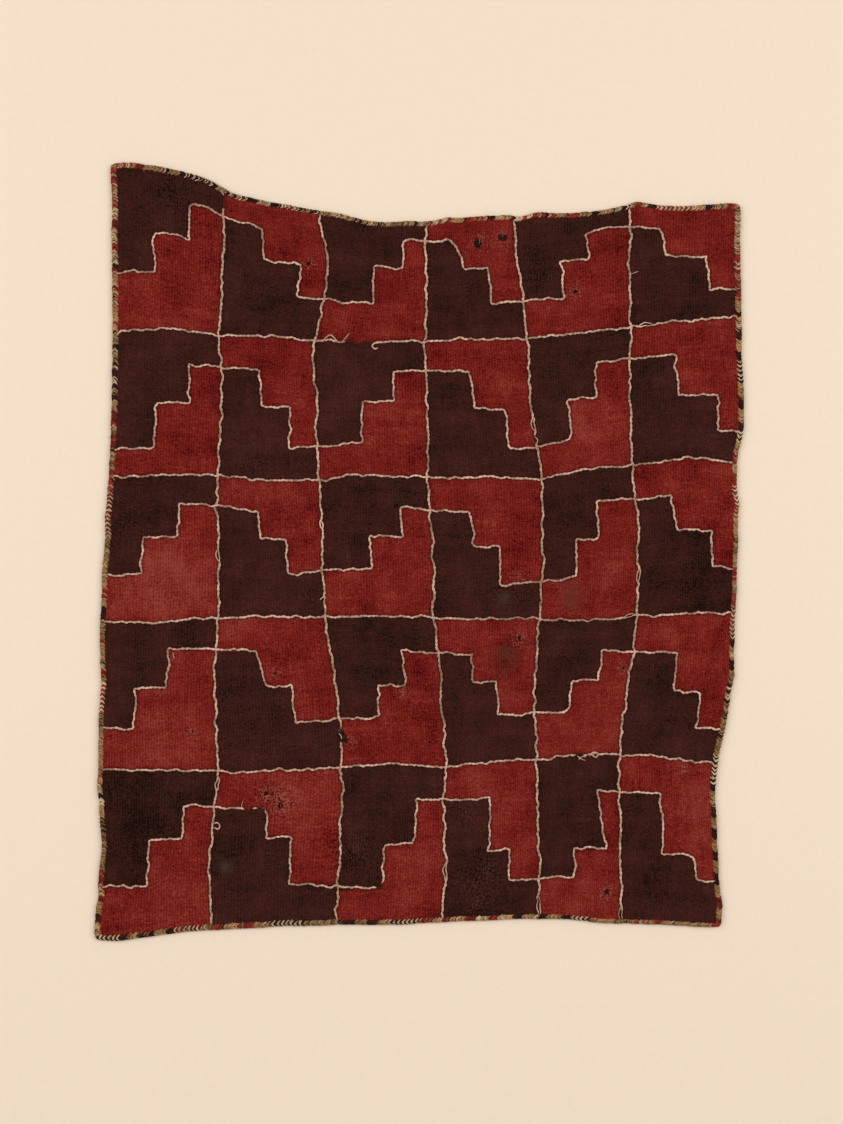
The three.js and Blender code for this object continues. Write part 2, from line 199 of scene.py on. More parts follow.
# Unevenness along a yarn: wavelength in mm, and reach. The twist's reach is in radians
PLY_SWELL = (3.7, 0.5)
TWIST_DRIFT = (14, 1.5)
YARN_TONES = [(7, 0.55), (2.1, 0.35)]
SWELL_SEED, TWIST_SEED, TONE_SEED = 2, 3, 5  # added to the seed of the line
# The end of a yarn thins over END_TAPER steps, and END_TIP of a step keeps its tip open
END_TAPER = 2
END_TIP = 0.4
SHORTEST_RUN = 4  # steps
# Places where the outline has worn away: middle and half length in mm
WORN_GAPS = [(-33.5, 118.5, 7), (-107, 194, 3), (61.5, 66, 1.6), (5, -6, 1.8), (-43, -93.5, 3.4),
             (-93.5, -133, 2), (-86.5, -133, 1.5), (-22.5, -175.5, 1.8), (85, -105, 2)]
# Places where the two plies part and leave an eye: middle and half length in mm
EYES = [(121, 128, 4), (60.5, 74, 4), (-110, -120, 4), (64, -185, 6), (107.5, -190, 5),
        (-110, 3.5, 4), (10, -28, 3), (112.5, -30.5, 4), (116, -7, 4), (12.5, -167, 5), (-55, 20, 3)]
EYE_OPENING = 0.85  # each ply stands this far out at the middle of an eye
EYE_THIN = 0.18  # and is this much thinner there
# Where the outline yarn is soiled: middle, reach in mm and strength
SOILED_YARN = [(64, -32, 40, 0.25), (15, -60, 40, 0.25)]

# Loose ends of the outline yarn: radius in mm, and points in mm with their height above the cloth
LOOSE_ENDS = [
    (0.36, [(-53.4, 118.8, 0.4), (-51.6, 121, 0.8), (-49.2, 122.4, 1.1), (-47, 120.8, 0.9),
            (-45.2, 118.4, 0.4)]),
    (0.22, [(-43.4, 118.2, 0.3), (-41.5, 120.2, 0.7), (-38.8, 123.6, 0.3)]),
    (0.4, [(-19.7, 118.3, 0.6), (-24.6, 118.2, 0.8), (-26.6, 116.6, 0.8), (-25.2, 115, 0.5),
           (-23.6, 115.6, 0.4)]),
    (0.34, [(-112.2, -141, 0.6), (-109.9, -140.6, 1.0), (-108.7, -142.4, 1.0), (-109.8, -144, 1.0),
            (-112, -143, 0.6)]),
    (0.2, [(-134.2, -48.6, 0.5), (-133.8, -50.4, 0.6), (-133.2, -52.4, 0.3)]),
    (0.2, [(112.6, 155, 0.6), (114.8, 156, 0.6), (117.2, 156.8, 0.3)]),
    (0.42, [(90.6, -104.8, 0.7), (92.6, -102.6, 1.0), (95.4, -103.4, 0.9), (94, -105.2, 0.7),
            (91.8, -104, 1.1)]),
    (0.2, [(84, -104.4, 0.5), (86, -106.2, 0.6), (88.6, -107, 0.2)]),
    (0.2, [(84.6, -106.8, 0.3), (86.6, -105, 0.6), (89, -105.2, 0.3)]),
    (0.28, [(-54.8, -20.5, 0.6), (-53.2, -19, 0.7), (-51.6, -19.6, 0.3)]),
    (0.26, [(-44.6, -92.4, 0.3), (-43.4, -93.8, 0.4), (-43.2, -95.6, 0.2)]),
    (0.26, [(61, 67.6, 0.5), (62.6, 66, 0.6), (62.2, 64, 0.3)]),
    (0.16, [(-97.4, -133.2, 0.5), (-96.8, -130.6, 0.7), (-96.2, -128.6, 0.3)]),
]
THREAD_STEP = 0.5
THREAD_POINTS = 4  # at least
THREAD_TIP = 0.35  # the tip of a thread, as a share of its radius
TIP_GROWTH = 3  # how many radii a thread would gain from its tip to its next point, up to the full one
# Fibres pulled out round each worn spot
PULLED_PER_MM = 3  # for each mm that the wear spreads
PULLED_RADIUS = 0.12
PULLED_SPAN = (0.6, 2.2)
PULLED_CLEAR = 0.55  # they start outside this share of the spot's width and height
PULLED_CROWD = 1.5  # the higher, the closer they crowd round it
PULLED_LEAN = 0.9  # spread of their lean from upright, in radians
PULLED_STRAY = 0.3
PULLED_SHARES = (0, 0.35, 0.7, 1)  # their points, as shares of their span
PULLED_RISES = [(0.1, 0.5), (0.1, 0.4)]  # range of the height of the two inner ones
PULLED_END = 0.05  # height of the last one
# Bare threads across each hole and each pit
BARE_RADIUS = 0.21
BARE_PITCH = 0.34
BARE_SHIFT = 0.1
BARE_STRAY = 0.12
BARE_SINK = 0.4  # below the face of the cloth
BARE_TUCK = 0.4  # this much of each end is inside the cloth
BARE_BROKEN = 0.12  # the share of them that are broken off
BARE_LOST = (0.3, 0.6)  # range of the share of its length that a broken one has lost
# Short ends of dark threads that lie with the weave, half sunk into it: middle and length in mm
DARK_ENDS = [(-87, -125.7, 1.2), (-77.4, -125.4, 1.5), (-80.2, -125, 1.8), (-75.9, -122.4, 1.4),
             (-79.4, -129.4, 1.2), (-74.2, -126.6, 1.0), (-44, -155, 1.6), (-43, -157.6, 1.2),
             (-45.2, -153, 1.2)]
DARK_END_RADIUS = 0.4
DARK_END_SINK = (0.25, 0.1)  # of its ends and of its middle
DARK_END_BOW = 0.1  # of its length

# Edge binding, in mm: its width at even steps along each side, from the left or from the top
BINDING_WIDTH = {
    "top": [2.7, 2.5, 2.1, 2.4, 2.3, 2.2, 2.8], "right": [3.1, 3.1, 2.8, 2.3, 2.3, 2.8, 2.7, 2.8],
    "bottom": [3.0, 3.0, 2.9, 2.6, 2.3, 2.2, 2.0], "left": [3.1, 3.0, 2.9, 2.9, 2.9, 2.6, 2.5, 2.6, 3.4],
}
EDGE_WANDERS = [(9, 0.3), (4, 0.2)]  # wavelength of each small wander of the edge, and its reach
STITCH_PITCH = 1.2
STITCH_LEAD = 1.6  # how far the point of a stitch runs ahead of its feet
STRANDS = 3  # in each stitch
STRAND_RADIUS = 0.21
STRAND_SPREAD = 0.31  # from strand to strand
STRAND_SIDES = 5
# How uneven the stitches are: strays to both sides, and ranges that a size is multiplied by
STITCH_STRAY = 0.2  # of the pitch
STRAND_STRAY = 0.3  # of the spread
WIDTH_RANGE = (0.85, 1.12)
LEAD_RANGE = (0.6, 1.2)
LEAD_STRAY = 0.15  # of the lead
DEPTH_RANGE = (0, 0.35)  # added to the distance from the edge, in mm
RISE_RANGE = (0.92, 1.06)
RADIUS_RANGE = (0.8, 1.15)
STRAND_TONE = 0.3  # stray of the tone from strand to strand, and from stitch to stitch
STITCH_TONE = 0.15
RUN_TONE = (-0.3, 0.2)  # range of the tone from run to run
AHEAD_REACH = 0.8  # the way along the edge is read over this much on both sides
# One stitch over the edge, from its outer foot to its inner one: share of the width in from the
# edge, height in mm, and share of the lead
STITCH_PATH = [(0.14, 0.6, 0.0), (0.10, 1.2, 0.08), (0.14, 1.8, 0.34), (0.30, 2.25, 0.72),
               (0.52, 2.4, 1.0), (0.72, 2.3, 0.72), (0.92, 2.05, 0.3), (1.06, 1.8, 0.0)]
# The core that the stitches are worked over: distance in from the edge and height, round its section
CORE_SECTION = [(0.5, 1.2), (0.75, 1.95), (1.2, 1.95), (1.3, 1.1), (1.2, 0.25), (0.75, 0.25)]
# The yarns along each side, charted: a letter for the yarn and its run in mm. Sides are
# read from the left or from the top
BINDING_RUNS = {
    "top": "t3 m10 r5 t9 p3 d1 t6 d4 s16 d2 t5 d2 w2 d2 n6 d6 n7 d6 w3 p6 k9 s3 t6 n5 t4 o9 t7 o6"
           " t14 d2 n6 r2 w3 r2 w3 r2 t7 r5 m8 d4 t8 r3 w4 r2 w3 r3 m4 d2 m5 t5 r6 t7 d4 t7 d2 w3 s5"
           " n3 r4 t3 d5 p19 n7 d5 t7 r4 t3",
    "right": "o3 n19 m5 r3 p6 m10 r6 t6 d2 n7 d6 t6 d5 c13 t7 d7 t7 d5 c6 t5 m6 t6 r6 p12 m6 t8 o4 t14"
             " r8 t6 r7 p15 c4 d3 t7 d6 t7 d2 w2 d2 n3 d2 n4 o5 t5 k7 t8 c16 d3 t7 d7 t6 d6 t6 d5 t7 d6"
             " t7 r6 t6 r4",
    "bottom": "d2 c11 d5 t6 d8 t7 d4 p15 t5 r7 t8 r8 t7 o3 c17 t8 o5 t6 d9 t6 d6 t6 c17 r7 n5 r4 t8 r6"
              " n7 r5 n8 d5 t7 w2 d4 t7 d5 c11 t18 o6 r3 w2 r3 t3 r4 t21 o6 r5",
    "left": "t2 r3 p3 r2 m10 r4 n6 r5 n8 r4 n7 d3 m3 f30 o8 d2 t5 d4 n3 d3 w4 d2 n4 d2 t6 r8 f6 r5"
            " f14 m14 p19 f9 t21 r5 t5 d7 t7 m6 t9 n5 r4 t3 p16 o8 t26 m5 w5 d2 w4 t7 o8 t20 r8 n6 r3"
            " t6 d5 t9",
}
YARNS = ["tan", "red", "dark", "cream"]
# The yarns that a letter takes stitch by stitch in turn
IN_TURN = {"c": ("cream", "dark"), "p": ("cream", "red")}
# The shares of tan, red, dark and cream strands that any other letter mixes. The dark strands of 'o' are
# painted shade on tan.
MIXED = {
    "t": (0.9, 0, 0.04, 0.06), "n": (0.55, 0, 0.1, 0.35), "f": (0.66, 0.2, 0.06, 0.08),
    "o": (0.62, 0, 0.38, 0), "k": (0.35, 0, 0.6, 0.05), "r": (0.04, 0.9, 0.06, 0),
    "m": (0.32, 0.54, 0.04, 0.1), "d": (0.02, 0, 0.98, 0), "s": (0.04, 0, 0.7, 0.26),
    "w": (0, 0, 0.1, 0.9),
}

# Wool, with hardly any gloss
WOOL_ROUGHNESS = 0.95
WOOL_GLOSS = 0.05
# Patterns in the weave: size in mm across and down the cloth, and detail of the noise
WEAVE_PATTERNS = {
    "speckle": (1.0, 1.2, 2), "dash": (2.0, 0.8, 1), "streak": (2.1, 12, 2), "weft": (7, 2.2, 2),
    "band": (55, 6, 2), "hair": (0.9, 1.4, 3), "blotch": (13, 17, 3), "patch": (60, 75, 2),
}
# What each pattern adds to how light a spot is, from LIGHT_START up
LIGHT_START = -1.94
LIGHT_SHARES = {
    "speckle": 0.95, "dash": 0.8, "thread": 0.1, "streak": 0.33, "weft": 0.35, "band": 0.4, "blotch": 0.75,
}
# painted shade: the ribs' relief makes the colour darker in the valleys between them, by this share of the
# lightness
RIB_PAINTED_SHADE = 0.21
FADE_LIGHT = 0.6
HAIR_LIGHT = (3.0, -1.6)  # gain and offset
RIB_WANDER = 1.5  # in rib spacings
BEAD_RELIEF = 0.45  # beside the relief of the ribs
RIB_BUMP = (0.4, 0.25)  # strength, and height in mm
# Dyes from the darkest spot at 0 to the palest at 1
DARKEST = 0.35  # as a share of the dark dye
DARK_STOP = 0.15
PLAIN_STOP = 0.52
JOIN_BLUR = 0.2  # the two dyes meet over this many mm on each side of a join
PAINTED_SEAM_SHADE = 0.55  # painted shade: how far the cloth's colour is darkened towards the blackish brown where it dips under an outline
SEAM_REACH = (0.4, 1.9)  # in mm, from where that is full to where it ends
SPECK_RANGE = (0.5, 0.75)  # of the speckle, where worn fibres show
DUST_RANGE = (0.35, 0.6)  # of the blotches, where a smudge shows
WORN_FIBRE = "AF7464"
DUST = "43342A"
BARE_THREAD = "1B0D0B"
# Yarn: size in mm and detail of each drift of its colour, and where it goes from clean to soiled
YARN_DRIFTS = [(4.5, 2), (1.1, 3)]
SOIL_RANGE = (0.7, 1.35)
YARN_BUMP = (0.5, 0.2)  # strength, and height in mm
BINDING_SOIL = 0.4  # the soiled colour of a binding yarn, as a share of the clean one
# Single threads, clean and soiled
THREAD_COLORS = {
    "faded_wool_single": ("C2735E", "984E3E"), "brown_wool_single": ("6E4239", "4A2A24"),
    "dark_wool_frayed_single": ("3A1A14", "1A0C09"),
}

# Stage
BOARD_ROUGHNESS = 0.9
BOARD_GLOSS = 0.2
GRAIN = (2.5, 3)  # size in mm, and detail of the noise
GRAIN_SHADES = (0.97, 1.03)
FLOOR_REACH = 3000  # mm
FLOOR_LEVEL = -0.1  # mm
LAMP_SIZE = (0.7, 1.3)  # m
LAMP_PLACE = (1.15, 0.25, 1.25)  # m, of the one on the right
ROOM_LIGHT = "F4EEE6"


def linear(code):
    """An sRGB hex colour as linear red, green and blue."""
    values = [int(code[k:k + 2], 16) / 255 for k in (0, 2, 4)]
    return tuple(v / 12.92 if v <= 0.04045 else ((v + 0.055) / 1.055) ** 2.4 for v in values)


# Settings that a user would change

def dye(name, description, code):
    """A colour setting whose default is an sRGB hex value."""
    return bpy.props.FloatVectorProperty(
        name=name, description=description, subtype="COLOR", size=3, min=0, max=1, default=linear(code))


def length(name, description, default_mm):
    """A length setting whose default is given in millimetres."""
    return bpy.props.FloatProperty(
        name=name, description=description, unit="LENGTH", precision=5, min=0, default=default_mm * MM)


class ClothSettings(bpy.types.PropertyGroup):
    """The woven cloth."""
    red: dye("Red", "Madder-dyed wool where it has kept its colour", "78211B")
    deep_red: dye("Deep red", "Madder-dyed wool in the shade between the ribs", "5A100E")
    brick: dye("Faded red", "Madder-dyed wool where it has faded", "8F4136")
    brown: dye("Brown", "Dark brown wool", "3E1C18")
    black: dye("Blackish brown", "Dark brown wool in the shade between the ribs", "29150F")
    tan_brown: dye("Worn brown", "Dark brown wool where it has worn", "4D2A24")
    rib: length("Rib spacing", "From one raised rib of the weave to the next", 1.4)
    pick: length("Pick spacing", "From one crossing thread to the next", 1.7)


class OutlineSettings(bpy.types.PropertyGroup):
    """The stitched outlines."""
    cream: dye("Cream", "Undyed cream wool along the rows and steps", "DDB8A1")
    soiled: dye("Soiled cream", "That wool where it is soiled", "9A7160")
    straw: dye("Straw", "Straw-coloured wool along the columns", "D9B39B")
    dull_straw: dye("Soiled straw", "That wool where it is soiled", "8F6C58")
    ply: length("Ply radius", "Radius of one of the two plies of a row's or step's yarn", 0.335)
    column_ply: length("Column ply radius", "Radius of one ply of the heavier yarn on the columns", 0.365)
    twist: length("Twist", "Length of one full turn of the plies", 4.6)


class BindingSettings(bpy.types.PropertyGroup):
    """The looped edge binding."""
    tan: dye("Golden tan", "Golden tan wool", "B88E60")
    red: dye("Red", "Madder-dyed wool", "A03B30")
    dark: dye("Dark brown", "Dark brown wool", "3E251D")
    cream: dye("Cream", "Undyed cream wool", "DCC19B")


class StageSettings(bpy.types.PropertyGroup):
    """The floor, the lights and the camera."""
    floor: dye("Floor", "Pale cream board", "F3E2CE")
    lens: bpy.props.FloatProperty(
        name="Lens", description="Focal length of the camera", unit="CAMERA", min=1, default=85)
    key_power: bpy.props.FloatProperty(
        name="Side light", description="Power of each of the two side lights", unit="POWER", min=0,
        default=10.4)
    fill: bpy.props.FloatProperty(
        name="Fill", description="Strength of the soft light from all round", subtype="FACTOR", min=0,
        default=0.6)


# The grid of panels

def read_line(values, at):
    """A smooth curve through evenly spaced values, read at any place along them."""
    values = np.asarray(values, float)
    last = len(values) - 1
    at = np.clip(np.asarray(at, float), 0, last)
    k = np.minimum(at.astype(int), last - 1)
    f = at - k
    before, here, there, after = (values[np.clip(k + step, 0, last)] for step in (-1, 0, 1, 2))
    leave, arrive = (there - before) / 2, (after - here) / 2
    bend = 3 * (there - here) - 2 * leave - arrive
    ease = 2 * (here - there) + leave + arrive
    return here + f * (leave + f * (bend + f * ease))


def between(lines, at, panels):
    """Read a table of lines at a place along them, and go a number of panels across them."""
    read = np.stack([read_line(line, STATIONS_PER_PANEL * at) for line in lines])
    first = np.clip(panels.astype(int), 0, len(lines) - 2)
    near, far = (np.take_along_axis(read, (first + step)[None], 0)[0] for step in (0, 1))
    return near + (far - near) * (panels - first)


def panel_point(across, down):
    """Points of the cloth in mm, counted in panels from the left edge and down from the top edge."""
    across, down = np.broadcast_arrays(np.asarray(across, float), np.asarray(down, float))
    x = between(COLUMN_LINES, down, across)
    y = between(ROW_LINES, across, down)
    return np.stack([x, y], -1) + VIEW_MIDDLE


def edge_distance(points, across, down):
    """How far each point lies inside the nearest edge, in mm."""
    x, y = np.moveaxis(points - VIEW_MIDDLE, -1, 0)
    left, right = (read_line(COLUMN_LINES[k], STATIONS_PER_PANEL * down) for k in (0, -1))
    top, bottom = (read_line(ROW_LINES[k], STATIONS_PER_PANEL * across) for k in (0, -1))
    return np.minimum.reduce([x - left, right - x, top - y, y - bottom])


def bumped(points):
    """Points in mm, moved near the edges with the bumps of the outline."""
    place = np.moveaxis(points - VIEW_MIDDLE, -1, 0)
    across = COLUMNS * (place[0] - COLUMN_LINES[0][0]) / (COLUMN_LINES[-1][0] - COLUMN_LINES[0][0])
    down = ROWS * (ROW_LINES[0][-1] - place[1]) / (ROW_LINES[0][-1] - ROW_LINES[-1][-1])
    moved = np.array(points, float)
    for side, axis, out, line, at in (
            ("left", 0, -1, COLUMN_LINES[0], down), ("right", 0, 1, COLUMN_LINES[-1], down),
            ("top", 1, 1, ROW_LINES[0], across), ("bottom", 1, -1, ROW_LINES[-1], across)):
        from_edge = np.abs(place[axis] - read_line(line, STATIONS_PER_PANEL * at))
        bumps = sum(rise * bell((place[1 - axis] - middle) / reach)
                    for middle, reach, rise in EDGE_BUMPS[side])
        moved[..., axis] += out * bumps * (1 - smoothstep(from_edge, 0, BUMP_FADE))
    return moved


def bell(away):
    """A soft hump: 1 in the middle, and nearly gone at 1."""
    return np.exp(-2 * away ** 2)


def smoothstep(value, low, high):
    """A soft step from 0 at one value to 1 at another."""
    f = np.clip((value - low) / (high - low), 0, 1)
    return f * f * (3 - 2 * f)


def underside(inside):
    """Height of the cloth's underside in mm, so far inside the edge."""
    return RIM_LIFT * (1 - smoothstep(inside, RIM_LEVEL, RIM_FLAT))


def upper_face(points, inside):
    """Height of the cloth's face in mm, without the pucker of the stitches."""
    x, y = np.moveaxis(points - VIEW_MIDDLE, -1, 0)
    turn = 2 * math.pi / COCKLE_LENGTH
    wave = np.sin(turn * (x + COCKLE_SLANT * y)) * np.cos(turn * (y - COCKLE_SLANT * x))
    swell = 0.5 * COCKLE_RISE * (1 + wave) * smoothstep(inside, RIM_LEVEL, RIM_FLAT)
    return underside(inside) + CLOTH_THICKNESS + swell


def drift(values, seed):
    """Smooth noise from -1 to 1 along a row of numbers, or over rows of points."""
    values = np.atleast_2d(np.asarray(values, float).T).T
    padded = np.zeros((len(values), 3))
    padded[:, :values.shape[1]] = values
    padded[:, 2] += seed * DRIFT_APART
    return np.array([noise.noise(Vector(p)) for p in padded])


# The lines that are stitched

def step_stations(row):
    """The stepped line of one row: it climbs in every other panel and comes down in the next."""
    panels = [[percent / 100 for percent in panel] for panel in STEPS[row]]
    stations = [(0, row + panels[0][LOW_TREAD])]
    for column, (low, high, high_tread, middle_tread, low_tread, lean) in enumerate(panels):
        rising = [
            (column + low, row + low_tread),
            (column + low, row + middle_tread),
            (column + high + lean / 2, row + middle_tread),
            (column + high - lean / 2, row + high_tread),
        ]
        climbs = column % 2 == 0
        stations += rising if climbs else rising[::-1]
        if column < COLUMNS - 1:
            tread = HIGH_TREAD if climbs else LOW_TREAD
            stations.append((column + 1, row + (panels[column][tread] + panels[column + 1][tread]) / 2))
    return np.array(stations + [(COLUMNS, row + panels[-1][LOW_TREAD])])


def row_stations(row):
    """The places, in panels, where a line along the rows crosses the columns."""
    return np.array([(column, row) for column in range(COLUMNS + 1)], float)


def column_stations(column):
    """The places, in panels, where a line down the columns crosses the rows."""
    return np.array([(column, row) for row in range(ROWS + 1)], float)


def distances(points):
    """How far along a run of points each one lies."""
    return np.concatenate([[0], np.cumsum(np.linalg.norm(np.diff(points, axis=0), axis=1))])


def sample(stations):
    """Points YARN_STEP apart along a run of stations, and their place in panels."""
    dense = []
    for start, end in zip(stations[:-1], stations[1:]):
        span = np.linalg.norm(panel_point(*end) - panel_point(*start))
        parts = max(int(span / (0.5 * YARN_STEP)), 2)
        dense.append(start + (end - start) * np.linspace(0, 1, parts, endpoint=False)[:, None])
    dense = np.vstack([*dense, stations[-1:]])
    points = panel_point(dense[:, 0], dense[:, 1])
    run = distances(points)
    even = np.linspace(0, run[-1], max(int(run[-1] / YARN_STEP), 2))
    return (np.stack([np.interp(even, run, points[:, k]) for k in (0, 1)], -1),
            np.stack([np.interp(even, run, dense[:, k]) for k in (0, 1)], -1))


def rounded(points, reach, closed=False):
    """Round the corners of a run of points YARN_STEP apart, over a reach in mm."""
    half = max(int(reach / YARN_STEP), 1)
    if closed:
        before, after = points[-half:], points[:half]
    else:
        before, after = (np.repeat(end, half, 0) for end in (points[:1], points[-1:]))
    padded = np.vstack([before, points, after])
    weights = np.hanning(2 * half + 3)[1:-1]
    weights /= weights.sum()
    return np.stack([np.convolve(padded[:, k], weights, "valid") for k in (0, 1)], -1)


def stitched_lines():
    """Every line with stitching: its name, its stations and whether it takes the heavier yarn."""
    lines = [(f"row_join_{row}", row_stations(row), False) for row in range(1, ROWS)]
    lines += [(f"column_join_{column}", column_stations(column), True) for column in range(1, COLUMNS)]
    lines += [(f"stepped_line_{row + 1}", step_stations(row), False) for row in range(ROWS)]
    return lines


def wandering(name, stations):
    """The hand-sewn path of one line: its points, how far each has wandered, and its place in panels."""
    straight, places = sample(stations)
    wide = spread(straight, [(*corner, WIDE_REACH, 1) for corner in WIDE_CORNERS])[:, None]
    points = (1 - wide) * rounded(straight, STEP_ROUND) + wide * rounded(straight, WIDE_ROUND)
    run = np.arange(len(points)) * YARN_STEP
    sway = sum(reach * drift(run / wavelength, line_seed(name) + wavelength)
               for wavelength, reach in WANDERS)
    points = points + sideways(points) * sway[:, None]
    return points, points - straight, places


def line_seed(name):
    """A seed of its own for each line."""
    return sum(map(ord, name))


def sideways(points):
    """The direction to the left of a run of points, at each point."""
    ahead = unit(np.gradient(points, axis=0))
    return np.column_stack([-ahead[:, 1], ahead[:, 0]])


def near_any(points, places):
    """Whether each point lies within the half length of one of the places."""
    hits = np.zeros(len(points), bool)
    for x, y, half in places:
        hits |= np.linalg.norm(points - VIEW_MIDDLE - (x, y), axis=-1) < half
    return hits


# Meshes

def unit(vectors):
    """Vectors of length 1."""
    return vectors / np.maximum(np.linalg.norm(vectors, axis=-1, keepdims=True), 1e-9)


def tubes(paths, radii, reference, sides):
    """Closed round strands along paths of equal length: their vertices and faces."""
    count, steps = paths.shape[:2]
    ahead = unit(np.gradient(paths, axis=1))
    side = unit(np.cross(ahead, reference))
    lift = np.cross(side, ahead)
    turn = 2 * math.pi * np.arange(sides) / sides
    ring = np.cos(turn)[:, None] * side[:, :, None] + np.sin(turn)[:, None] * lift[:, :, None]
    verts = paths[:, :, None] + radii[:, :, None, None] * ring
    index = np.arange(count * steps * sides).reshape(count, steps, sides)
    here, ahead_of = index[:, :-1], index[:, 1:]
    quads = np.stack([here, np.roll(here, -1, 2), np.roll(ahead_of, -1, 2), ahead_of], -1)
    faces = quads.reshape(-1, 4)[:, ::-1].tolist()
    caps = index[:, 0].tolist() + index[:, -1, ::-1].tolist()
    return verts.reshape(-1, 3), faces + caps


def joined(parts):
    """Several sets of vertices and faces as one."""
    verts, faces, start = [], [], 0
    for part_verts, part_faces in parts:
        verts.append(part_verts)
        faces += [[start + k for k in face] for face in part_faces]
        start += len(part_verts)
    return np.vstack(verts), faces


def make_object(name, verts_mm, faces, materials):
    """A smooth mesh object from vertices in mm, moved with the bumps of the outline."""
    verts = np.array(verts_mm, float)
    verts[:, :2] = bumped(verts[:, :2])
    mesh = bpy.data.meshes.new(name)
    mesh.from_pydata((verts * MM).tolist(), [], faces)
    mesh.polygons.foreach_set("use_smooth", np.ones(len(mesh.polygons), bool))
    for material in materials:
        mesh.materials.append(material)
    made = bpy.data.objects.new(name, mesh)
    bpy.context.scene.collection.objects.link(made)
    return made


def add_attribute(made, name, kind, values):
    """Store a number or a vector for each vertex, for the material to read."""
    attribute = made.data.attributes.new(name, kind, "POINT")
    key = "vector" if kind == "FLOAT_VECTOR" else "value"
    attribute.data.foreach_set(key, np.asarray(values, np.float32).ravel())


# Materials

def add(tree, kind, inputs=None, **settings):
    """Add a node with its settings, and set or link its inputs."""
    made = tree.nodes.new(kind)
    for name, value in settings.items():
        setattr(made, name, value)
    for key, value in (inputs or {}).items():
        if isinstance(value, bpy.types.NodeSocket):
            tree.links.new(value, made.inputs[key])
        else:
            made.inputs[key].default_value = value
    return made


def new_material(name, roughness=WOOL_ROUGHNESS, gloss=WOOL_GLOSS):
    """A plain material, its node tree and its shader."""
    material = bpy.data.materials.new(name)
    material.use_nodes = True
    tree = material.node_tree
    shader = tree.nodes["Principled BSDF"]
    shader.inputs["Roughness"].default_value = roughness
    shader.inputs["Specular IOR Level"].default_value = gloss
    return material, tree, shader


def rgba(color):
    """A colour with full opacity."""
    return (*color, 1)


def weave_patterns(tree, weave):
    """The uneven spinning, beating and dyeing of the cloth, from single fibres up to whole panels."""
    patterns = {}
    for name, (across_mm, down_mm, detail) in WEAVE_PATTERNS.items():
        scaled = add(tree, "ShaderNodeVectorMath", {0: weave, 1: (1 / across_mm, 1 / down_mm, 1)},
                     operation="MULTIPLY").outputs["Vector"]
        patterns[name] = add(tree, "ShaderNodeTexNoise",
                             {"Vector": scaled, "Scale": 1, "Detail": detail}).outputs["Fac"]
    return patterns


def ribs(tree, weave, blotch):
    """The relief of the ribs, and a shade for each bead.

    Each rib is a row of beads, half a bead lower in every other rib. They are drawn a little larger
    than the real 1.3 mm so that they show in the picture.
    """
    cloth = bpy.context.scene.textile_cloth
    cells = add(tree, "ShaderNodeVectorMath", {0: weave, 1: (cloth.rib / MM, cloth.pick / MM, 1)},
                operation="DIVIDE").outputs["Vector"]
    split = add(tree, "ShaderNodeSeparateXYZ", {0: cells}).outputs
    uneven = add(tree, "ShaderNodeMath", {0: blotch, 1: RIB_WANDER, 2: split["X"]},
                 operation="MULTIPLY_ADD").outputs[0]
    rib = add(tree, "ShaderNodeMath", {0: uneven}, operation="FLOOR").outputs[0]
    lowered = add(tree, "ShaderNodeMath", {0: rib, 1: 0.5, 2: split["Y"]},
                  operation="MULTIPLY_ADD").outputs[0]
    rounds = []
    for place in (uneven, lowered):
        angle = add(tree, "ShaderNodeMath", {0: place, 1: math.pi}, operation="MULTIPLY").outputs[0]
        wave = add(tree, "ShaderNodeMath", {0: angle}, operation="SINE").outputs[0]
        rounds.append(add(tree, "ShaderNodeMath", {0: wave}, operation="ABSOLUTE").outputs[0])
    relief = add(tree, "ShaderNodeMath", {0: rounds[1], 1: BEAD_RELIEF, 2: rounds[0]},
                 operation="MULTIPLY_ADD").outputs[0]
    bead = add(tree, "ShaderNodeMath", {0: lowered}, operation="FLOOR").outputs[0]
    number = add(tree, "ShaderNodeCombineXYZ", {0: rib, 1: bead}).outputs[0]
    return relief, add(tree, "ShaderNodeTexWhiteNoise", {"Vector": number}).outputs["Value"]


def lightness(tree, relief, patterns, reading):
    """How light each spot is: painted shade between the ribs, speckle, dashes, streaks, bands, blotches,
    rubbed hair and fading.
    """
    # painted shade: the valleys between the ribs are made darker in the colour
    light = add(tree, "ShaderNodeMath", {0: relief, 1: RIB_PAINTED_SHADE, 2: LIGHT_START},
                operation="MULTIPLY_ADD").outputs[0]
    for name, share in LIGHT_SHARES.items():
        light = add(tree, "ShaderNodeMath", {0: patterns[name], 1: share, 2: light},
                    operation="MULTIPLY_ADD").outputs[0]
    hair = add(tree, "ShaderNodeMath", {0: patterns["hair"], 1: HAIR_LIGHT[0], 2: HAIR_LIGHT[1]},
               operation="MULTIPLY_ADD").outputs[0]
    light = add(tree, "ShaderNodeMath", {0: hair, 1: reading["rough"], 2: light},
                operation="MULTIPLY_ADD").outputs[0]
    faded = add(tree, "ShaderNodeMath", {0: patterns["patch"], 1: reading["fade"]},
                operation="ADD").outputs[0]
    return add(tree, "ShaderNodeMath", {0: faded, 1: FADE_LIGHT, 2: light},
               operation="MULTIPLY_ADD").outputs[0]


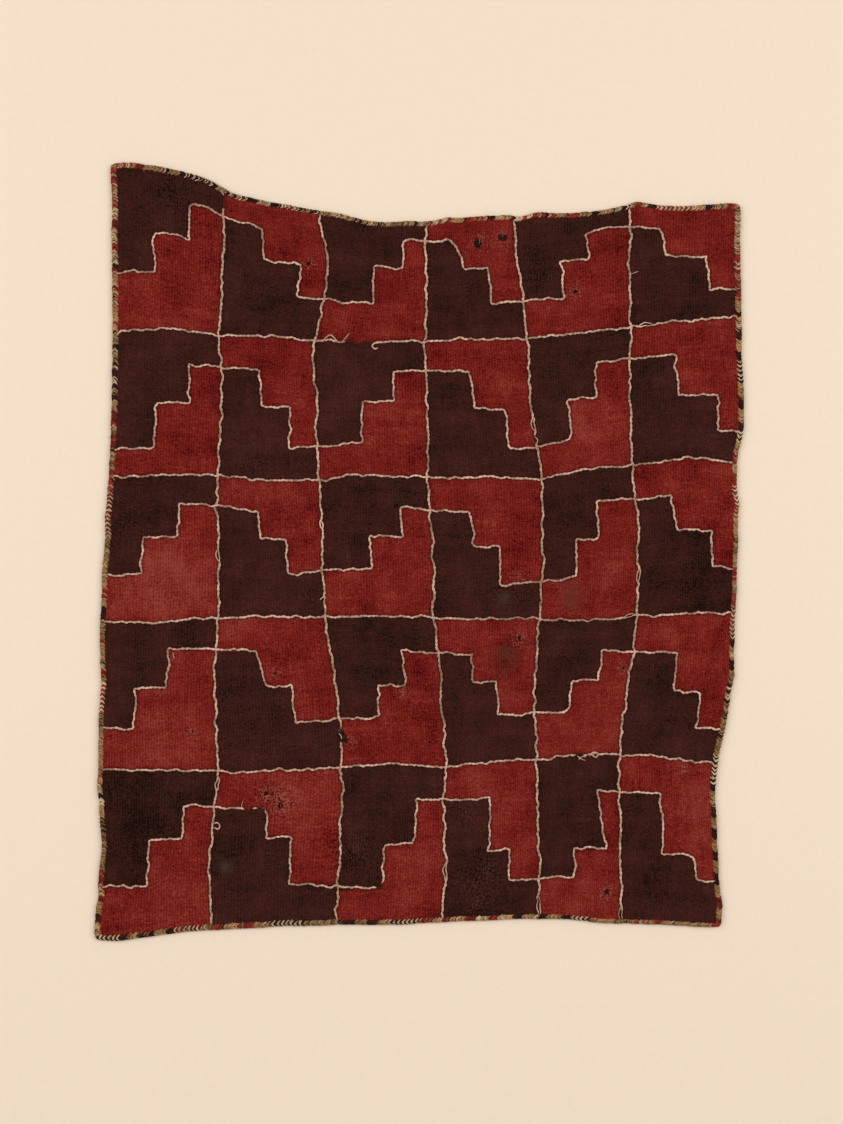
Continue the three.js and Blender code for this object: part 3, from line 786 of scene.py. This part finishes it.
def dyed(tree, light, panel_side):
    """The brown and the red half of each panel, from dark to worn, with painted shade beside the outlines.
    """
    cloth = bpy.context.scene.textile_cloth
    halves = []
    for dark, plain, worn in ((cloth.black, cloth.brown, cloth.tan_brown),
                              (cloth.deep_red, cloth.red, cloth.brick)):
        ramp = add(tree, "ShaderNodeValToRGB", {0: light})
        stops = ramp.color_ramp.elements
        stops[0].color = rgba(shaded(dark, DARKEST))
        stops[1].color = rgba(worn)
        for position, shade in ((DARK_STOP, dark), (PLAIN_STOP, plain)):
            stops.new(position).color = rgba(shade)
        halves.append(ramp.outputs["Color"])
    which = add(tree, "ShaderNodeMapRange",
                {"Value": panel_side, "From Min": -JOIN_BLUR, "From Max": JOIN_BLUR}).outputs["Result"]
    color = add(tree, "ShaderNodeMix", {0: which, 6: halves[0], 7: halves[1]}, data_type="RGBA").outputs[2]
    # painted shade: the colour darkens towards the blackish brown beside every outline, where the cloth
    # dips under the yarn
    off_seam = add(tree, "ShaderNodeMath", {0: panel_side}, operation="ABSOLUTE").outputs[0]
    seam = add(tree, "ShaderNodeMapRange",
               {"Value": off_seam, "From Min": SEAM_REACH[0], "From Max": SEAM_REACH[1],
                "To Min": PAINTED_SEAM_SHADE, "To Max": 0}).outputs["Result"]
    return add(tree, "ShaderNodeMix", {0: seam, 6: color, 7: rgba(cloth.black)},
               data_type="RGBA").outputs[2]


def woven_wool():
    """Hand-spun wool in a warp-faced plain weave, dyed with madder or left dark brown.

    It has no gloss, fine upright ribs with painted shade between them, a speckle from uneven spinning, and
    patches that have faded.
    """
    material, tree, shader = new_material("madder_and_brown_wool_plain_weave")
    weave = add(tree, "ShaderNodeAttribute", attribute_name="weave").outputs["Vector"]
    reading = {name: add(tree, "ShaderNodeAttribute", attribute_name=name).outputs["Fac"]
               for name in ("panel_side", "wear", "smudge", "fade", "rough")}
    patterns = weave_patterns(tree, weave)
    relief, patterns["thread"] = ribs(tree, weave, patterns["blotch"])
    light = lightness(tree, relief, patterns, reading)
    color = dyed(tree, light, reading["panel_side"])

    # Wear lifts paler fibres in specks, and smudges are greyish dust
    for pattern, (low, high), strength, shade in (("speckle", SPECK_RANGE, "wear", WORN_FIBRE),
                                                  ("blotch", DUST_RANGE, "smudge", DUST)):
        shown = add(tree, "ShaderNodeMapRange",
                    {"Value": patterns[pattern], "From Min": low, "From Max": high}).outputs["Result"]
        share = add(tree, "ShaderNodeMath", {0: shown, 1: reading[strength]},
                    operation="MULTIPLY").outputs[0]
        color = add(tree, "ShaderNodeMix", {0: share, 6: color, 7: rgba(linear(shade))},
                    data_type="RGBA").outputs[2]

    strength, height_mm = RIB_BUMP
    bump = add(tree, "ShaderNodeBump",
               {"Height": relief, "Strength": strength, "Distance": height_mm * MM})
    tree.links.new(color, shader.inputs["Base Color"])
    tree.links.new(bump.outputs["Normal"], shader.inputs["Normal"])
    return material


def bare_threads():
    """Dark wool threads laid bare where the weave has worn: matt and nearly black."""
    material, _, shader = new_material("dark_wool_bare_threads")
    shader.inputs["Base Color"].default_value = rgba(linear(BARE_THREAD))
    return material


def plied_wool(name, plain, soiled):
    """Hand-spun wool yarn, plied or single.

    It is matt and hairy, and its colour drifts along the yarn from clean to soiled.
    """
    material, tree, shader = new_material(name)
    place = add(tree, "ShaderNodeTexCoord").outputs["Object"]
    mixed = add(tree, "ShaderNodeAttribute", attribute_name="tone").outputs["Fac"]
    for size_mm, detail in YARN_DRIFTS:
        hairs = add(tree, "ShaderNodeTexNoise",
                    {"Vector": place, "Scale": 1 / (size_mm * MM), "Detail": detail}).outputs["Fac"]
        mixed = add(tree, "ShaderNodeMath", {0: hairs, 1: mixed}, operation="ADD").outputs[0]
    low, high = SOIL_RANGE
    soil = add(tree, "ShaderNodeMapRange",
               {"Value": mixed, "From Min": low, "From Max": high}).outputs["Result"]
    color = add(tree, "ShaderNodeMix", {0: soil, 6: rgba(plain), 7: rgba(soiled)},
                data_type="RGBA").outputs[2]
    strength, height_mm = YARN_BUMP
    bump = add(tree, "ShaderNodeBump",
               {"Height": hairs, "Strength": strength, "Distance": height_mm * MM})
    tree.links.new(color, shader.inputs["Base Color"])
    tree.links.new(bump.outputs["Normal"], shader.inputs["Normal"])
    return material


def shaded(color, share):
    """A colour made darker or lighter by a share."""
    return tuple(min(c * share, 1) for c in color)


def board():
    """Pale cream board, smooth and matt, with the faint grain of paper."""
    material, tree, shader = new_material("cream_paper_board", BOARD_ROUGHNESS, BOARD_GLOSS)
    floor = bpy.context.scene.textile_stage.floor
    place = add(tree, "ShaderNodeTexCoord").outputs["Object"]
    size_mm, detail = GRAIN
    grain = add(tree, "ShaderNodeTexNoise",
                {"Vector": place, "Scale": 1 / (size_mm * MM), "Detail": detail}).outputs["Fac"]
    darker, lighter = (rgba(shaded(floor, share)) for share in GRAIN_SHADES)
    color = add(tree, "ShaderNodeMix", {0: grain, 6: darker, 7: lighter}, data_type="RGBA").outputs[2]
    tree.links.new(color, shader.inputs["Base Color"])
    return material


# The cloth

def cloth_grid():
    """The cloth's grid in panels and in mm, drawn in from the binding's outer line."""
    across, down = np.meshgrid(np.linspace(0, COLUMNS, COLUMNS * CELLS_PER_COLUMN + 1),
                               np.linspace(0, ROWS, ROWS * CELLS_PER_ROW + 1), indexing="ij")
    points = panel_point(across, down)
    draw_in = [EDGE_INSET * (np.clip(1 - at / INSET_FADE, 0, 1)
                             - np.clip(1 - (whole - at) / INSET_FADE, 0, 1))
               for at, whole in ((across, COLUMNS), (down, ROWS))]
    at_corner = np.abs(draw_in[0] * draw_in[1]) / EDGE_INSET ** 2
    further = 1 + CORNER_INSET * at_corner ** CORNER_SHARP
    points[..., 0] += draw_in[0] * further
    points[..., 1] -= draw_in[1] * further
    return across, down, points


def turned(vectors, degrees):
    """Flat vectors turned anticlockwise."""
    cos, sin = math.cos(math.radians(degrees)), math.sin(math.radians(degrees))
    return vectors @ np.array([[cos, sin], [-sin, cos]])


def corners_of(cells):
    """Which points of a grid are corners of its flagged cells."""
    wide, high = cells.shape
    corners = np.zeros((wide + 1, high + 1), bool)
    for i in (0, 1):
        for j in (0, 1):
            corners[i:i + wide, j:j + high] |= cells
    return corners


def rim_faces(points, spot):
    """The grid's faces inside one hole or pit, with the points round it moved to its ragged rim."""
    centre = VIEW_MIDDLE + (spot.x, spot.y)
    half = 0.5 * np.array([spot.width, spot.height])
    middles = (points[:-1, :-1] + points[1:, 1:]) / 2
    away = np.linalg.norm(turned(middles - centre, -spot.turn) / half, axis=-1)
    inside = away <= max(RIM_SHARE, away.min())
    touched = corners_of(inside)
    angle = np.arctan2(*(turned(points[touched] - centre, -spot.turn) / half).T[::-1])
    ragged = sum((share * np.sin(waves * angle + shift)
                  for (waves, share), shift in zip(RAGGED, (spot.x, spot.y))), start=1)
    rim = np.column_stack([np.cos(angle), np.sin(angle)]) * half * ragged[:, None]
    points[touched] = centre + turned(rim, spot.turn)
    return inside


def sheet_faces(keep):
    """Faces of a closed sheet with an upper and a lower grid, and which grid points they use."""
    used = corners_of(keep)
    index = (np.cumsum(used) - 1).reshape(used.shape)
    under = used.sum()
    i, j = np.nonzero(keep)
    a, b, c, d = index[i, j], index[i + 1, j], index[i + 1, j + 1], index[i, j + 1]
    faces = np.stack([d, c, b, a], -1).tolist() + (np.stack([a, b, c, d], -1) + under).tolist()
    framed = np.pad(keep, 1)
    for (right, below), start, end in (((-1, 0), a, d), ((1, 0), c, b), ((0, -1), b, a), ((0, 1), d, c)):
        is_open = ~framed[i + 1 + right, j + 1 + below]
        p, q = start[is_open], end[is_open]
        faces += np.stack([p, q, q + under, p + under], -1).tolist()
    return faces, used.ravel()


def panel_sides(across, down, points):
    """Distance to the nearest join in mm, above 0 in the red halves and below 0 in the brown ones."""
    paths = [wandering(name, stations) for name, stations, _ in stitched_lines()]
    joins, moved = (np.vstack([path[k] for path in paths]) for k in (0, 1))
    tree = kdtree.KDTree(len(joins))
    for k, point in enumerate(joins):
        tree.insert((*point, 0), k)
    tree.balance()
    found = [tree.find((*point, 0)) for point in points]
    distance = np.array([hit[2] for hit in found])
    shift = moved[[hit[1] for hit in found]] / PANEL_SIZE
    across = np.clip(across - shift[:, 0], 0, COLUMNS)
    down = np.clip(down + shift[:, 1], 0, ROWS)

    column = np.clip(across.astype(int), 0, COLUMNS - 1)
    row = np.clip(down.astype(int), 0, ROWS - 1)
    u, v = across - column, down - row
    low, high, high_tread, middle_tread, low_tread, lean = np.array(STEPS)[row, column].T / 100
    climbs = column % 2 == 0
    high = high + lean * ((v - high_tread) / (middle_tread - high_tread) - 0.5)
    past_low = np.where(climbs, u > low, u < low)
    past_high = np.where(climbs, u > high, u < high)
    line = np.where(past_high, high_tread, np.where(past_low, middle_tread, low_tread))
    red = (v < line) != climbs
    return np.where(red, distance, -distance)


def spread(points, places):
    """A soft sum of round spots, each with a middle, a reach in mm and a strength."""
    total = np.zeros(len(points))
    for x, y, reach, strength in places:
        away = np.linalg.norm(points - VIEW_MIDDLE - (x, y), axis=-1) / reach
        total += strength * bell(away)
    return np.clip(total, -1, 1)


def fading(points, sides):
    """How faded the cloth is: above 0 where the red has paled, below 0 where the brown is darker."""
    return np.where(sides > 0, spread(points, FADED_RED), -spread(points, DARK_BROWN))


class TEXTILE_OT_weave_cloth(bpy.types.Operator):
    """Weave the cloth with its panels, worn holes, puckers and rim"""
    bl_idname = "textile.weave_cloth"
    bl_label = "Weave the cloth"

    def execute(self, context):
        across, down, points = cloth_grid()
        gone = np.any([rim_faces(points, spot) for spot in HOLES], axis=0)
        bare = np.any([rim_faces(points, spot) for spot in PITS + DARK_PITS], axis=0)
        faces, used = sheet_faces(~gone)
        across, down, points = across.ravel()[used], down.ravel()[used], points.reshape(-1, 2)[used]
        inside = edge_distance(points, across, down)
        sides = panel_sides(across, down, points)
        pucker = PUCKER * np.exp(-(sides / PUCKER_REACH) ** 2)
        dents = [(spot.x, spot.y, spot.width, 1) for spot in PITS + DARK_PITS]
        pitted = PIT_DEPTH * spread(points, dents)
        ripple = RIPPLE * drift(points / RIPPLE_LENGTH, SEED) * smoothstep(inside, RIM_LEVEL, RIM_FLAT)
        upper = upper_face(points, inside) + ripple - pucker - pitted
        layers = [np.column_stack([points, height]) for height in (upper, underside(inside))]
        cloth = make_object("woven_cloth", np.vstack(layers), faces, [woven_wool(), bare_threads()])
        slots = np.zeros(len(faces), np.int32)
        slots[:(~gone).sum()] = bare[~gone]
        cloth.data.polygons.foreach_set("material_index", slots)

        worn = [(spot.x, spot.y, spot.wear, SPOT_WEAR) for spot in HOLES + PITS]
        worn += [(*spot, THIN_WEAR) for spot in THIN_SPOTS] + RUBBED_BROWN
        readings = {
            "panel_side": sides, "wear": spread(points, worn), "smudge": spread(points, SMUDGES),
            "fade": fading(points, sides), "rough": spread(points, ROUGH),
        }
        for name, values in readings.items():
            add_attribute(cloth, name, "FLOAT", np.tile(values, 2))
        weave = np.column_stack([across * PANEL_SIZE[0], down * PANEL_SIZE[1], np.zeros(len(across))])
        add_attribute(cloth, "weave", "FLOAT_VECTOR", np.tile(weave, (2, 1)))

        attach(cloth, BODY)
        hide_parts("cloth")
        return {"FINISHED"}


# The outlines

def yarn_plies(name, stations, heavy):
    """Two twisted plies along one line, broken where the stitching has worn away."""
    outline = bpy.context.scene.textile_outline
    ply = (outline.column_ply if heavy else outline.ply) / MM
    points, _, places = wandering(name, stations)
    clear = edge_distance(points, places[:, 0], places[:, 1]) > YARN_CLEAR
    points, places = points[clear], places[clear]
    side = sideways(points)
    run = np.arange(len(points)) * YARN_STEP
    seed = line_seed(name)
    height = upper_face(points, edge_distance(points, places[:, 0], places[:, 1]))

    eye = np.zeros(len(points))
    for x, y, half in EYES:
        away = np.linalg.norm(points - VIEW_MIDDLE - (x, y), axis=1) / half
        eye = np.maximum(eye, np.clip(1 - away ** 2, 0, 1))
    swell, uneven = (
        reach * drift(run / wavelength, seed + more)
        for (wavelength, reach), more in ((PLY_SWELL, SWELL_SEED), (TWIST_DRIFT, TWIST_SEED)))
    tone = sum(reach * drift(run / wavelength, seed + TONE_SEED + k)
               for k, (wavelength, reach) in enumerate(YARN_TONES)) + spread(points, SOILED_YARN)
    angle = 2 * math.pi * run / (outline.twist / MM) + uneven
    worn = near_any(points, WORN_GAPS)
    parts, tones = [], []
    for turn, way in ((0, -1), (math.pi, 1)):
        out = ply * PLY_OUT * np.cos(angle + turn) * (1 - eye) + way * EYE_OPENING * eye
        rise = ply * PLY_RISE * np.sin(angle + turn) * (1 - eye)
        path = np.column_stack([points + side * out[:, None], height + PLY_LIFT * ply + rise])
        radius = ply * (1 + swell) * (1 - EYE_THIN * eye)
        for piece in runs_of(~worn):
            if len(piece) >= SHORTEST_RUN:
                steps = np.arange(len(piece))
                taper = np.minimum(1, (END_TIP + np.minimum(steps, steps[::-1])) / END_TAPER)
                parts.append(tubes(path[None, piece], (radius[piece] * taper)[None], UP, YARN_SIDES))
                tones.append(np.repeat(tone[piece], YARN_SIDES))
    return *joined(parts), np.concatenate(tones)


def runs_of(flags):
    """The runs of neighbouring true flags, as lists of indices."""
    index = np.nonzero(flags)[0]
    return [run for run in np.split(index, np.nonzero(np.diff(index) > 1)[0] + 1) if len(run)]


class TEXTILE_OT_stitch_outlines(bpy.types.Operator):
    """Stitch two plied yarns along every join and every stepped line"""
    bl_idname = "textile.stitch_outlines"
    bl_label = "Stitch the outlines"

    def execute(self, context):
        outline = context.scene.textile_outline
        materials = [plied_wool("cream_wool_two_ply", outline.cream, outline.soiled),
                     plied_wool("straw_wool_two_ply", outline.straw, outline.dull_straw)]
        for name, stations, heavy in stitched_lines():
            verts, faces, tone = yarn_plies(name, stations, heavy)
            line = make_object(f"outline_{name}", verts, faces, [materials[heavy]])
            add_attribute(line, "tone", "FLOAT", tone)
            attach(line, BODY)
            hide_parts("outline_stitching")
        return {"FINISHED"}


# Loose and pulled threads

def thread(points, radius):
    """A thin smooth strand over the cloth through points in mm, each with a height above the cloth."""
    points = np.asarray(points, float)
    at = np.linspace(0, len(points) - 1, max(int(distances(points)[-1] / THREAD_STEP), THREAD_POINTS))
    path = np.column_stack([read_line(column, at) for column in points.T])
    path[:, :2] += VIEW_MIDDLE
    path[:, 2] += upper_face(path[:, :2], np.full(len(path), RIM_FLAT))
    radii = radius * np.clip(np.minimum(at, at[-1] - at) * TIP_GROWTH, THREAD_TIP, 1)
    return tubes(path[None], radii[None], UP, YARN_SIDES)


def pulled_round(rng, spot):
    """Short fibres round one worn spot, most of them near it and upright with the weave."""
    threads = []
    for angle in rng.uniform(0, 2 * math.pi, int(PULLED_PER_MM * spot.wear)):
        out = np.array([math.cos(angle), math.sin(angle)])
        away = (PULLED_CLEAR * np.array([spot.width, spot.height])
                + spot.wear * rng.uniform() ** PULLED_CROWD)
        start = (spot.x, spot.y) + turned(out * away, spot.turn)
        lean = rng.normal(0, PULLED_LEAN)
        along = np.array([math.sin(lean), math.cos(lean)]) * rng.uniform(*PULLED_SPAN)
        along *= 1 if along @ out > 0 else -1
        places = [start + share * along + rng.uniform(-PULLED_STRAY, PULLED_STRAY, 2)
                  for share in PULLED_SHARES]
        rises = (0, *[rng.uniform(*heights) for heights in PULLED_RISES], PULLED_END)
        threads.append(thread([(*place, rise) for place, rise in zip(places, rises)], PULLED_RADIUS))
    return threads


def bare_across(rng, spot):
    """Bare upright threads across one hole or pit, some of them broken off."""
    half = 0.5 * np.array([spot.width, spot.height])
    up = turned(np.array([0, 1.0]), -spot.turn) / half
    threads = []
    for across in np.arange(-max(half), max(half), BARE_PITCH) + rng.uniform(-BARE_SHIFT, BARE_SHIFT):
        aside = turned(np.array([across, 0]), -spot.turn) / half
        middle = -(aside @ up) / (up @ up)
        room = middle ** 2 - (aside @ aside - 1) / (up @ up)
        if room > 0:
            low, high = middle - room ** 0.5 - BARE_TUCK, middle + room ** 0.5 + BARE_TUCK
            if rng.uniform() < BARE_BROKEN:
                high -= rng.uniform(*BARE_LOST) * (high - low)
            points = [(spot.x + across + rng.uniform(-BARE_STRAY, BARE_STRAY), spot.y + at, -BARE_SINK)
                      for at in np.linspace(low, high, 3)]
            threads.append(thread(points, BARE_RADIUS))
    return threads


def dark_end(x, y, span):
    """A short end of a dark thread that lies with the weave, half sunk into it."""
    ends, middle = DARK_END_SINK
    points = [(x, y - span / 2, -ends), (x + DARK_END_BOW * span, y, -middle), (x, y + span / 2, -ends)]
    return thread(points, DARK_END_RADIUS)


class TEXTILE_OT_lay_loose_threads(bpy.types.Operator):
    """Lay the loose ends of the outline yarn, and the threads that wear has pulled out or laid bare"""
    bl_idname = "textile.lay_loose_threads"
    bl_label = "Lay the loose threads"

    def execute(self, context):
        rng = np.random.default_rng(SEED)
        thin = [Spot(x, y, 0, 0, reach) for x, y, reach in THIN_SPOTS]
        rubbed = [Spot(x, y, 0, 0, reach) for x, y, reach, _ in RUBBED_BROWN]
        loose_ends = [thread(points, radius) for radius, points in LOOSE_ENDS]
        pulled = [strand for spot in HOLES + PITS + thin for strand in pulled_round(rng, spot)]
        hairs = [strand for spot in rubbed for strand in pulled_round(rng, spot)]
        frayed = [strand for spot in HOLES + PITS for strand in bare_across(rng, spot)]
        frayed += [dark_end(*end) for end in DARK_ENDS]
        for name, (plain, soiled) in THREAD_COLORS.items():
            plied_wool(name, linear(plain), linear(soiled))
        for name, strands, material, slot in (
                ("loose_ends", loose_ends, "cream_wool_two_ply", "outline_yarn"),
                ("pulled_threads", pulled, "faded_wool_single", "woven_wool"),
                ("rubbed_threads", hairs, "brown_wool_single", "woven_wool"),
                ("frayed_threads", frayed, "dark_wool_frayed_single", "woven_wool")):
            made = make_object(name, *joined(strands), [bpy.data.materials[material]])
            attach(made, BODY)
        return {"FINISHED"}


# The binding

def side_path(side):
    """The outer line of one side, walked clockwise from corner to corner."""
    stations = {
        "top": row_stations(0), "right": column_stations(COLUMNS),
        "bottom": row_stations(ROWS)[::-1], "left": column_stations(0)[::-1],
    }
    return sample(stations[side])[0]


def edge_ring():
    """The whole outer line with rounded corners and its small wander, and the side of each point."""
    names = list(BINDING_WIDTH)
    parts = [side_path(side) for side in names]
    ring = np.vstack([part[:-1] for part in parts])
    owner = np.concatenate([np.full(len(part) - 1, k) for k, part in enumerate(parts)])
    ring = rounded(ring, CORNER_ROUND, closed=True)
    sway = sum(reach * drift(ring / wavelength, SEED + wavelength) for wavelength, reach in EDGE_WANDERS)
    return ring + inward_from(ring) * sway[:, None], owner, names


def inward_from(ring):
    """The direction into the cloth at each point of the outer line."""
    ahead = unit(np.roll(ring, -1, 0) - np.roll(ring, 1, 0))
    return np.column_stack([ahead[:, 1], -ahead[:, 0]])


def chart(side):
    """The chart of one side as the ends of its runs in mm and their letters."""
    runs = [(entry[0], float(entry[1:])) for entry in BINDING_RUNS[side].split()]
    return np.cumsum([run for _, run in runs]), [letter for letter, _ in runs]


def strand_yarns(rng, letters, stitch):
    """The yarn of each strand, from the letter of its stitch."""
    yarns = []
    for letter, number in zip(letters, stitch):
        if letter in IN_TURN:
            yarns.append(YARNS.index(IN_TURN[letter][number % 2]))
        else:
            yarns.append(rng.choice(len(YARNS), p=MIXED[letter]))
    return np.array(yarns)


def stitch_strands(rng, side, line, run):
    """The strands of one side's stitches: paths, radii, way ahead, stitch and distance along the chart."""
    count = int(run[-1] / STITCH_PITCH)
    stitch = np.repeat(np.arange(count), STRANDS)
    strands = len(stitch)
    middle = (np.arange(count) + 0.5 + rng.uniform(-STITCH_STRAY, STITCH_STRAY, count)) * run[-1] / count
    beside = (np.tile(np.arange(STRANDS) - 0.5 * (STRANDS - 1), count)
              + rng.uniform(-STRAND_STRAY, STRAND_STRAY, strands))
    at = middle[stitch] + STRAND_SPREAD * beside
    foot, before, after = (np.stack([np.interp(at + step, run, line[:, c]) for c in (0, 1)], -1)
                           for step in (0, -AHEAD_REACH, AHEAD_REACH))
    ahead = unit(after - before)
    inward = np.column_stack([ahead[:, 1], -ahead[:, 0]])

    from_start = at if side in ("top", "right") else run[-1] - at
    widths = BINDING_WIDTH[side]
    width = (read_line(widths, from_start / run[-1] * (len(widths) - 1))
             * rng.uniform(*WIDTH_RANGE, strands))
    lead = STITCH_LEAD * (rng.uniform(*LEAD_RANGE, count)[stitch]
                          + rng.uniform(-LEAD_STRAY, LEAD_STRAY, strands))
    share, height, forward = np.array(STITCH_PATH).T
    depth = share * width[:, None] + rng.uniform(*DEPTH_RANGE, strands)[:, None]
    flat = (foot[:, None] + inward[:, None] * depth[..., None]
            + ahead[:, None] * (lead[:, None] * (forward - 0.5))[..., None])
    rise = height * rng.uniform(*RISE_RANGE, strands)[:, None]
    paths = np.concatenate([flat, rise[..., None]], -1)
    radii = np.broadcast_to(STRAND_RADIUS * rng.uniform(*RADIUS_RANGE, strands)[:, None], paths.shape[:2])
    return paths, radii, ahead, stitch, from_start


def binding_side(k, side, ring, owner):
    """The loop stitches of one side: vertices, faces, each face's yarn and each vertex's tone."""
    rng = np.random.default_rng(SEED + k)
    index = np.nonzero(owner == k)[0]
    line = ring[np.append(index, (index[-1] + 1) % len(ring))]
    run = distances(line)
    paths, radii, ahead, stitch, from_start = stitch_strands(rng, side, line, run)
    strands = len(stitch)
    along = np.column_stack([ahead, np.zeros(strands)])[:, None]
    verts, faces = tubes(paths, radii, along, STRAND_SIDES)

    ends, letters = chart(side)
    place = np.minimum(np.searchsorted(ends, from_start * ends[-1] / run[-1]), len(letters) - 1)
    yarn = strand_yarns(rng, [letters[p] for p in place], stitch)
    slots = np.concatenate([np.repeat(yarn, (len(STITCH_PATH) - 1) * STRAND_SIDES), yarn, yarn])
    tone = (rng.uniform(-STRAND_TONE, STRAND_TONE, strands)
            + rng.uniform(-STITCH_TONE, STITCH_TONE, stitch[-1] + 1)[stitch]
            + rng.uniform(*RUN_TONE, len(letters))[place])
    return verts, faces, slots, np.repeat(tone, len(STITCH_PATH) * STRAND_SIDES)


def binding_core(ring):
    """A core that the stitches are worked over, outside the cloth's edge, in the dark yarn so that it
    shows as painted shade between the stitches and along the outer edge.
    """
    inward = inward_from(ring)
    verts = np.stack([np.column_stack([ring + depth * inward, np.full(len(ring), height)])
                      for depth, height in CORE_SECTION], 1)
    index = np.arange(len(ring) * len(CORE_SECTION)).reshape(len(ring), len(CORE_SECTION))
    ahead_of = np.roll(index, -1, 0)
    quads = np.stack([index, np.roll(index, -1, 1), np.roll(ahead_of, -1, 1), ahead_of], -1)
    return verts.reshape(-1, 3), quads.reshape(-1, 4).tolist()


class TEXTILE_OT_loop_binding(bpy.types.Operator):
    """Work loop stitches over all four edges, in the charted yarns"""
    bl_idname = "textile.loop_binding"
    bl_label = "Loop the binding"

    def execute(self, context):
        binding = context.scene.textile_binding
        materials = [plied_wool(f"{yarn}_wool_loop_stitch", getattr(binding, yarn),
                                shaded(getattr(binding, yarn), BINDING_SOIL)) for yarn in YARNS]
        ring, owner, names = edge_ring()
        for k, side in enumerate(names):
            verts, faces, slots, tone = binding_side(k, side, ring, owner)
            made = make_object(f"binding_{side}", verts, faces, materials)
            made.data.polygons.foreach_set("material_index", slots.astype(np.int32))
            add_attribute(made, "tone", "FLOAT", tone)
            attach(made, BODY)
            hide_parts("edge_binding")
        # the core takes the dark yarn: painted shade where it shows between the stitches and along the
        # outer edge
        core = make_object("binding_core", *binding_core(ring), [materials[YARNS.index("dark")]])
        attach(core, BODY)
        return {"FINISHED"}


# The stage

class TEXTILE_OT_set_stage(bpy.types.Operator):
    """Lay the floor, hang two soft side lights and point the camera straight down"""
    bl_idname = "textile.set_stage"
    bl_label = "Set the stage"

    def execute(self, context):
        scene = context.scene
        stage = scene.textile_stage
        corners = [(x * FLOOR_REACH, y * FLOOR_REACH, FLOOR_LEVEL)
                   for x, y in ((-1, -1), (1, -1), (1, 1), (-1, 1))]
        floor = make_object("floor", corners, [(0, 1, 2, 3)], [board()])

        for side in (-1, 1):
            lamp = bpy.data.lights.new(f"side_light_{'left' if side < 0 else 'right'}", "AREA")
            lamp.shape = "RECTANGLE"
            lamp.size, lamp.size_y = LAMP_SIZE
            lamp.energy = stage.key_power
            hung = bpy.data.objects.new(lamp.name, lamp)
            hung.location = (side * LAMP_PLACE[0], *LAMP_PLACE[1:])
            hung.rotation_euler = Vector(hung.location).to_track_quat("Z", "Y").to_euler()
            scene.collection.objects.link(hung)

        world = bpy.data.worlds.new("soft_room_light")
        world.use_nodes = True
        background = world.node_tree.nodes["Background"]
        background.inputs["Color"].default_value = rgba(linear(ROOM_LIGHT))
        background.inputs["Strength"].default_value = stage.fill
        scene.world = world
        scene.view_settings.view_transform = "Standard"

        lens = bpy.data.cameras.new("camera_above")
        lens.lens = stage.lens
        lens.dof.use_dof = False
        view_height = PHOTO_HEIGHT_PX * PIXEL_MM * MM
        camera = bpy.data.objects.new("camera_above", lens)
        camera.location = (*(VIEW_MIDDLE * MM), view_height * lens.lens / lens.sensor_width)
        scene.collection.objects.link(camera)
        scene.camera = camera
        return {"FINISHED"}


class TEXTILE_PT_sidebar(bpy.types.Panel):
    """The textile's pieces and settings"""
    bl_idname = "TEXTILE_PT_sidebar"
    bl_label = "Textile"
    bl_space_type = "VIEW_3D"
    bl_region_type = "UI"
    bl_category = "Textile"

    def draw(self, context):
        for operator in OPERATORS:
            self.layout.operator(operator.bl_idname)
        for name, group in SETTINGS.items():
            box = self.layout.box()
            box.label(text=group.__doc__)
            for prop in group.__annotations__:
                box.prop(getattr(context.scene, name), prop)


OPERATORS = [TEXTILE_OT_set_stage, TEXTILE_OT_weave_cloth, TEXTILE_OT_stitch_outlines,
             TEXTILE_OT_lay_loose_threads, TEXTILE_OT_loop_binding]
SETTINGS = {
    "textile_cloth": ClothSettings, "textile_outline": OutlineSettings,
    "textile_binding": BindingSettings, "textile_stage": StageSettings,
}
CLASSES = [*SETTINGS.values(), *OPERATORS, TEXTILE_PT_sidebar]


def register():
    """Add the settings, operators and panel."""
    for cls in CLASSES:
        bpy.utils.register_class(cls)
    for name, group in SETTINGS.items():
        setattr(bpy.types.Scene, name, bpy.props.PointerProperty(type=group))


def unregister():
    """Take the settings, operators and panel away again."""
    for name in SETTINGS:
        delattr(bpy.types.Scene, name)
    for cls in reversed(CLASSES):
        bpy.utils.unregister_class(cls)


def declare_sheet():
    """Gather the outer line of all four sides."""
    outline = np.vstack([side_path(side) for side in BINDING_WIDTH])


def main():
    """Build the textile on its stage, and gather the outer line of its sides."""
    register()
    bpy.ops.textile.set_stage()
    bpy.ops.textile.weave_cloth()
    bpy.ops.textile.stitch_outlines()
    bpy.ops.textile.lay_loose_threads()
    bpy.ops.textile.loop_binding()
    declare_sheet()


if __name__ == "__main__":
    main()
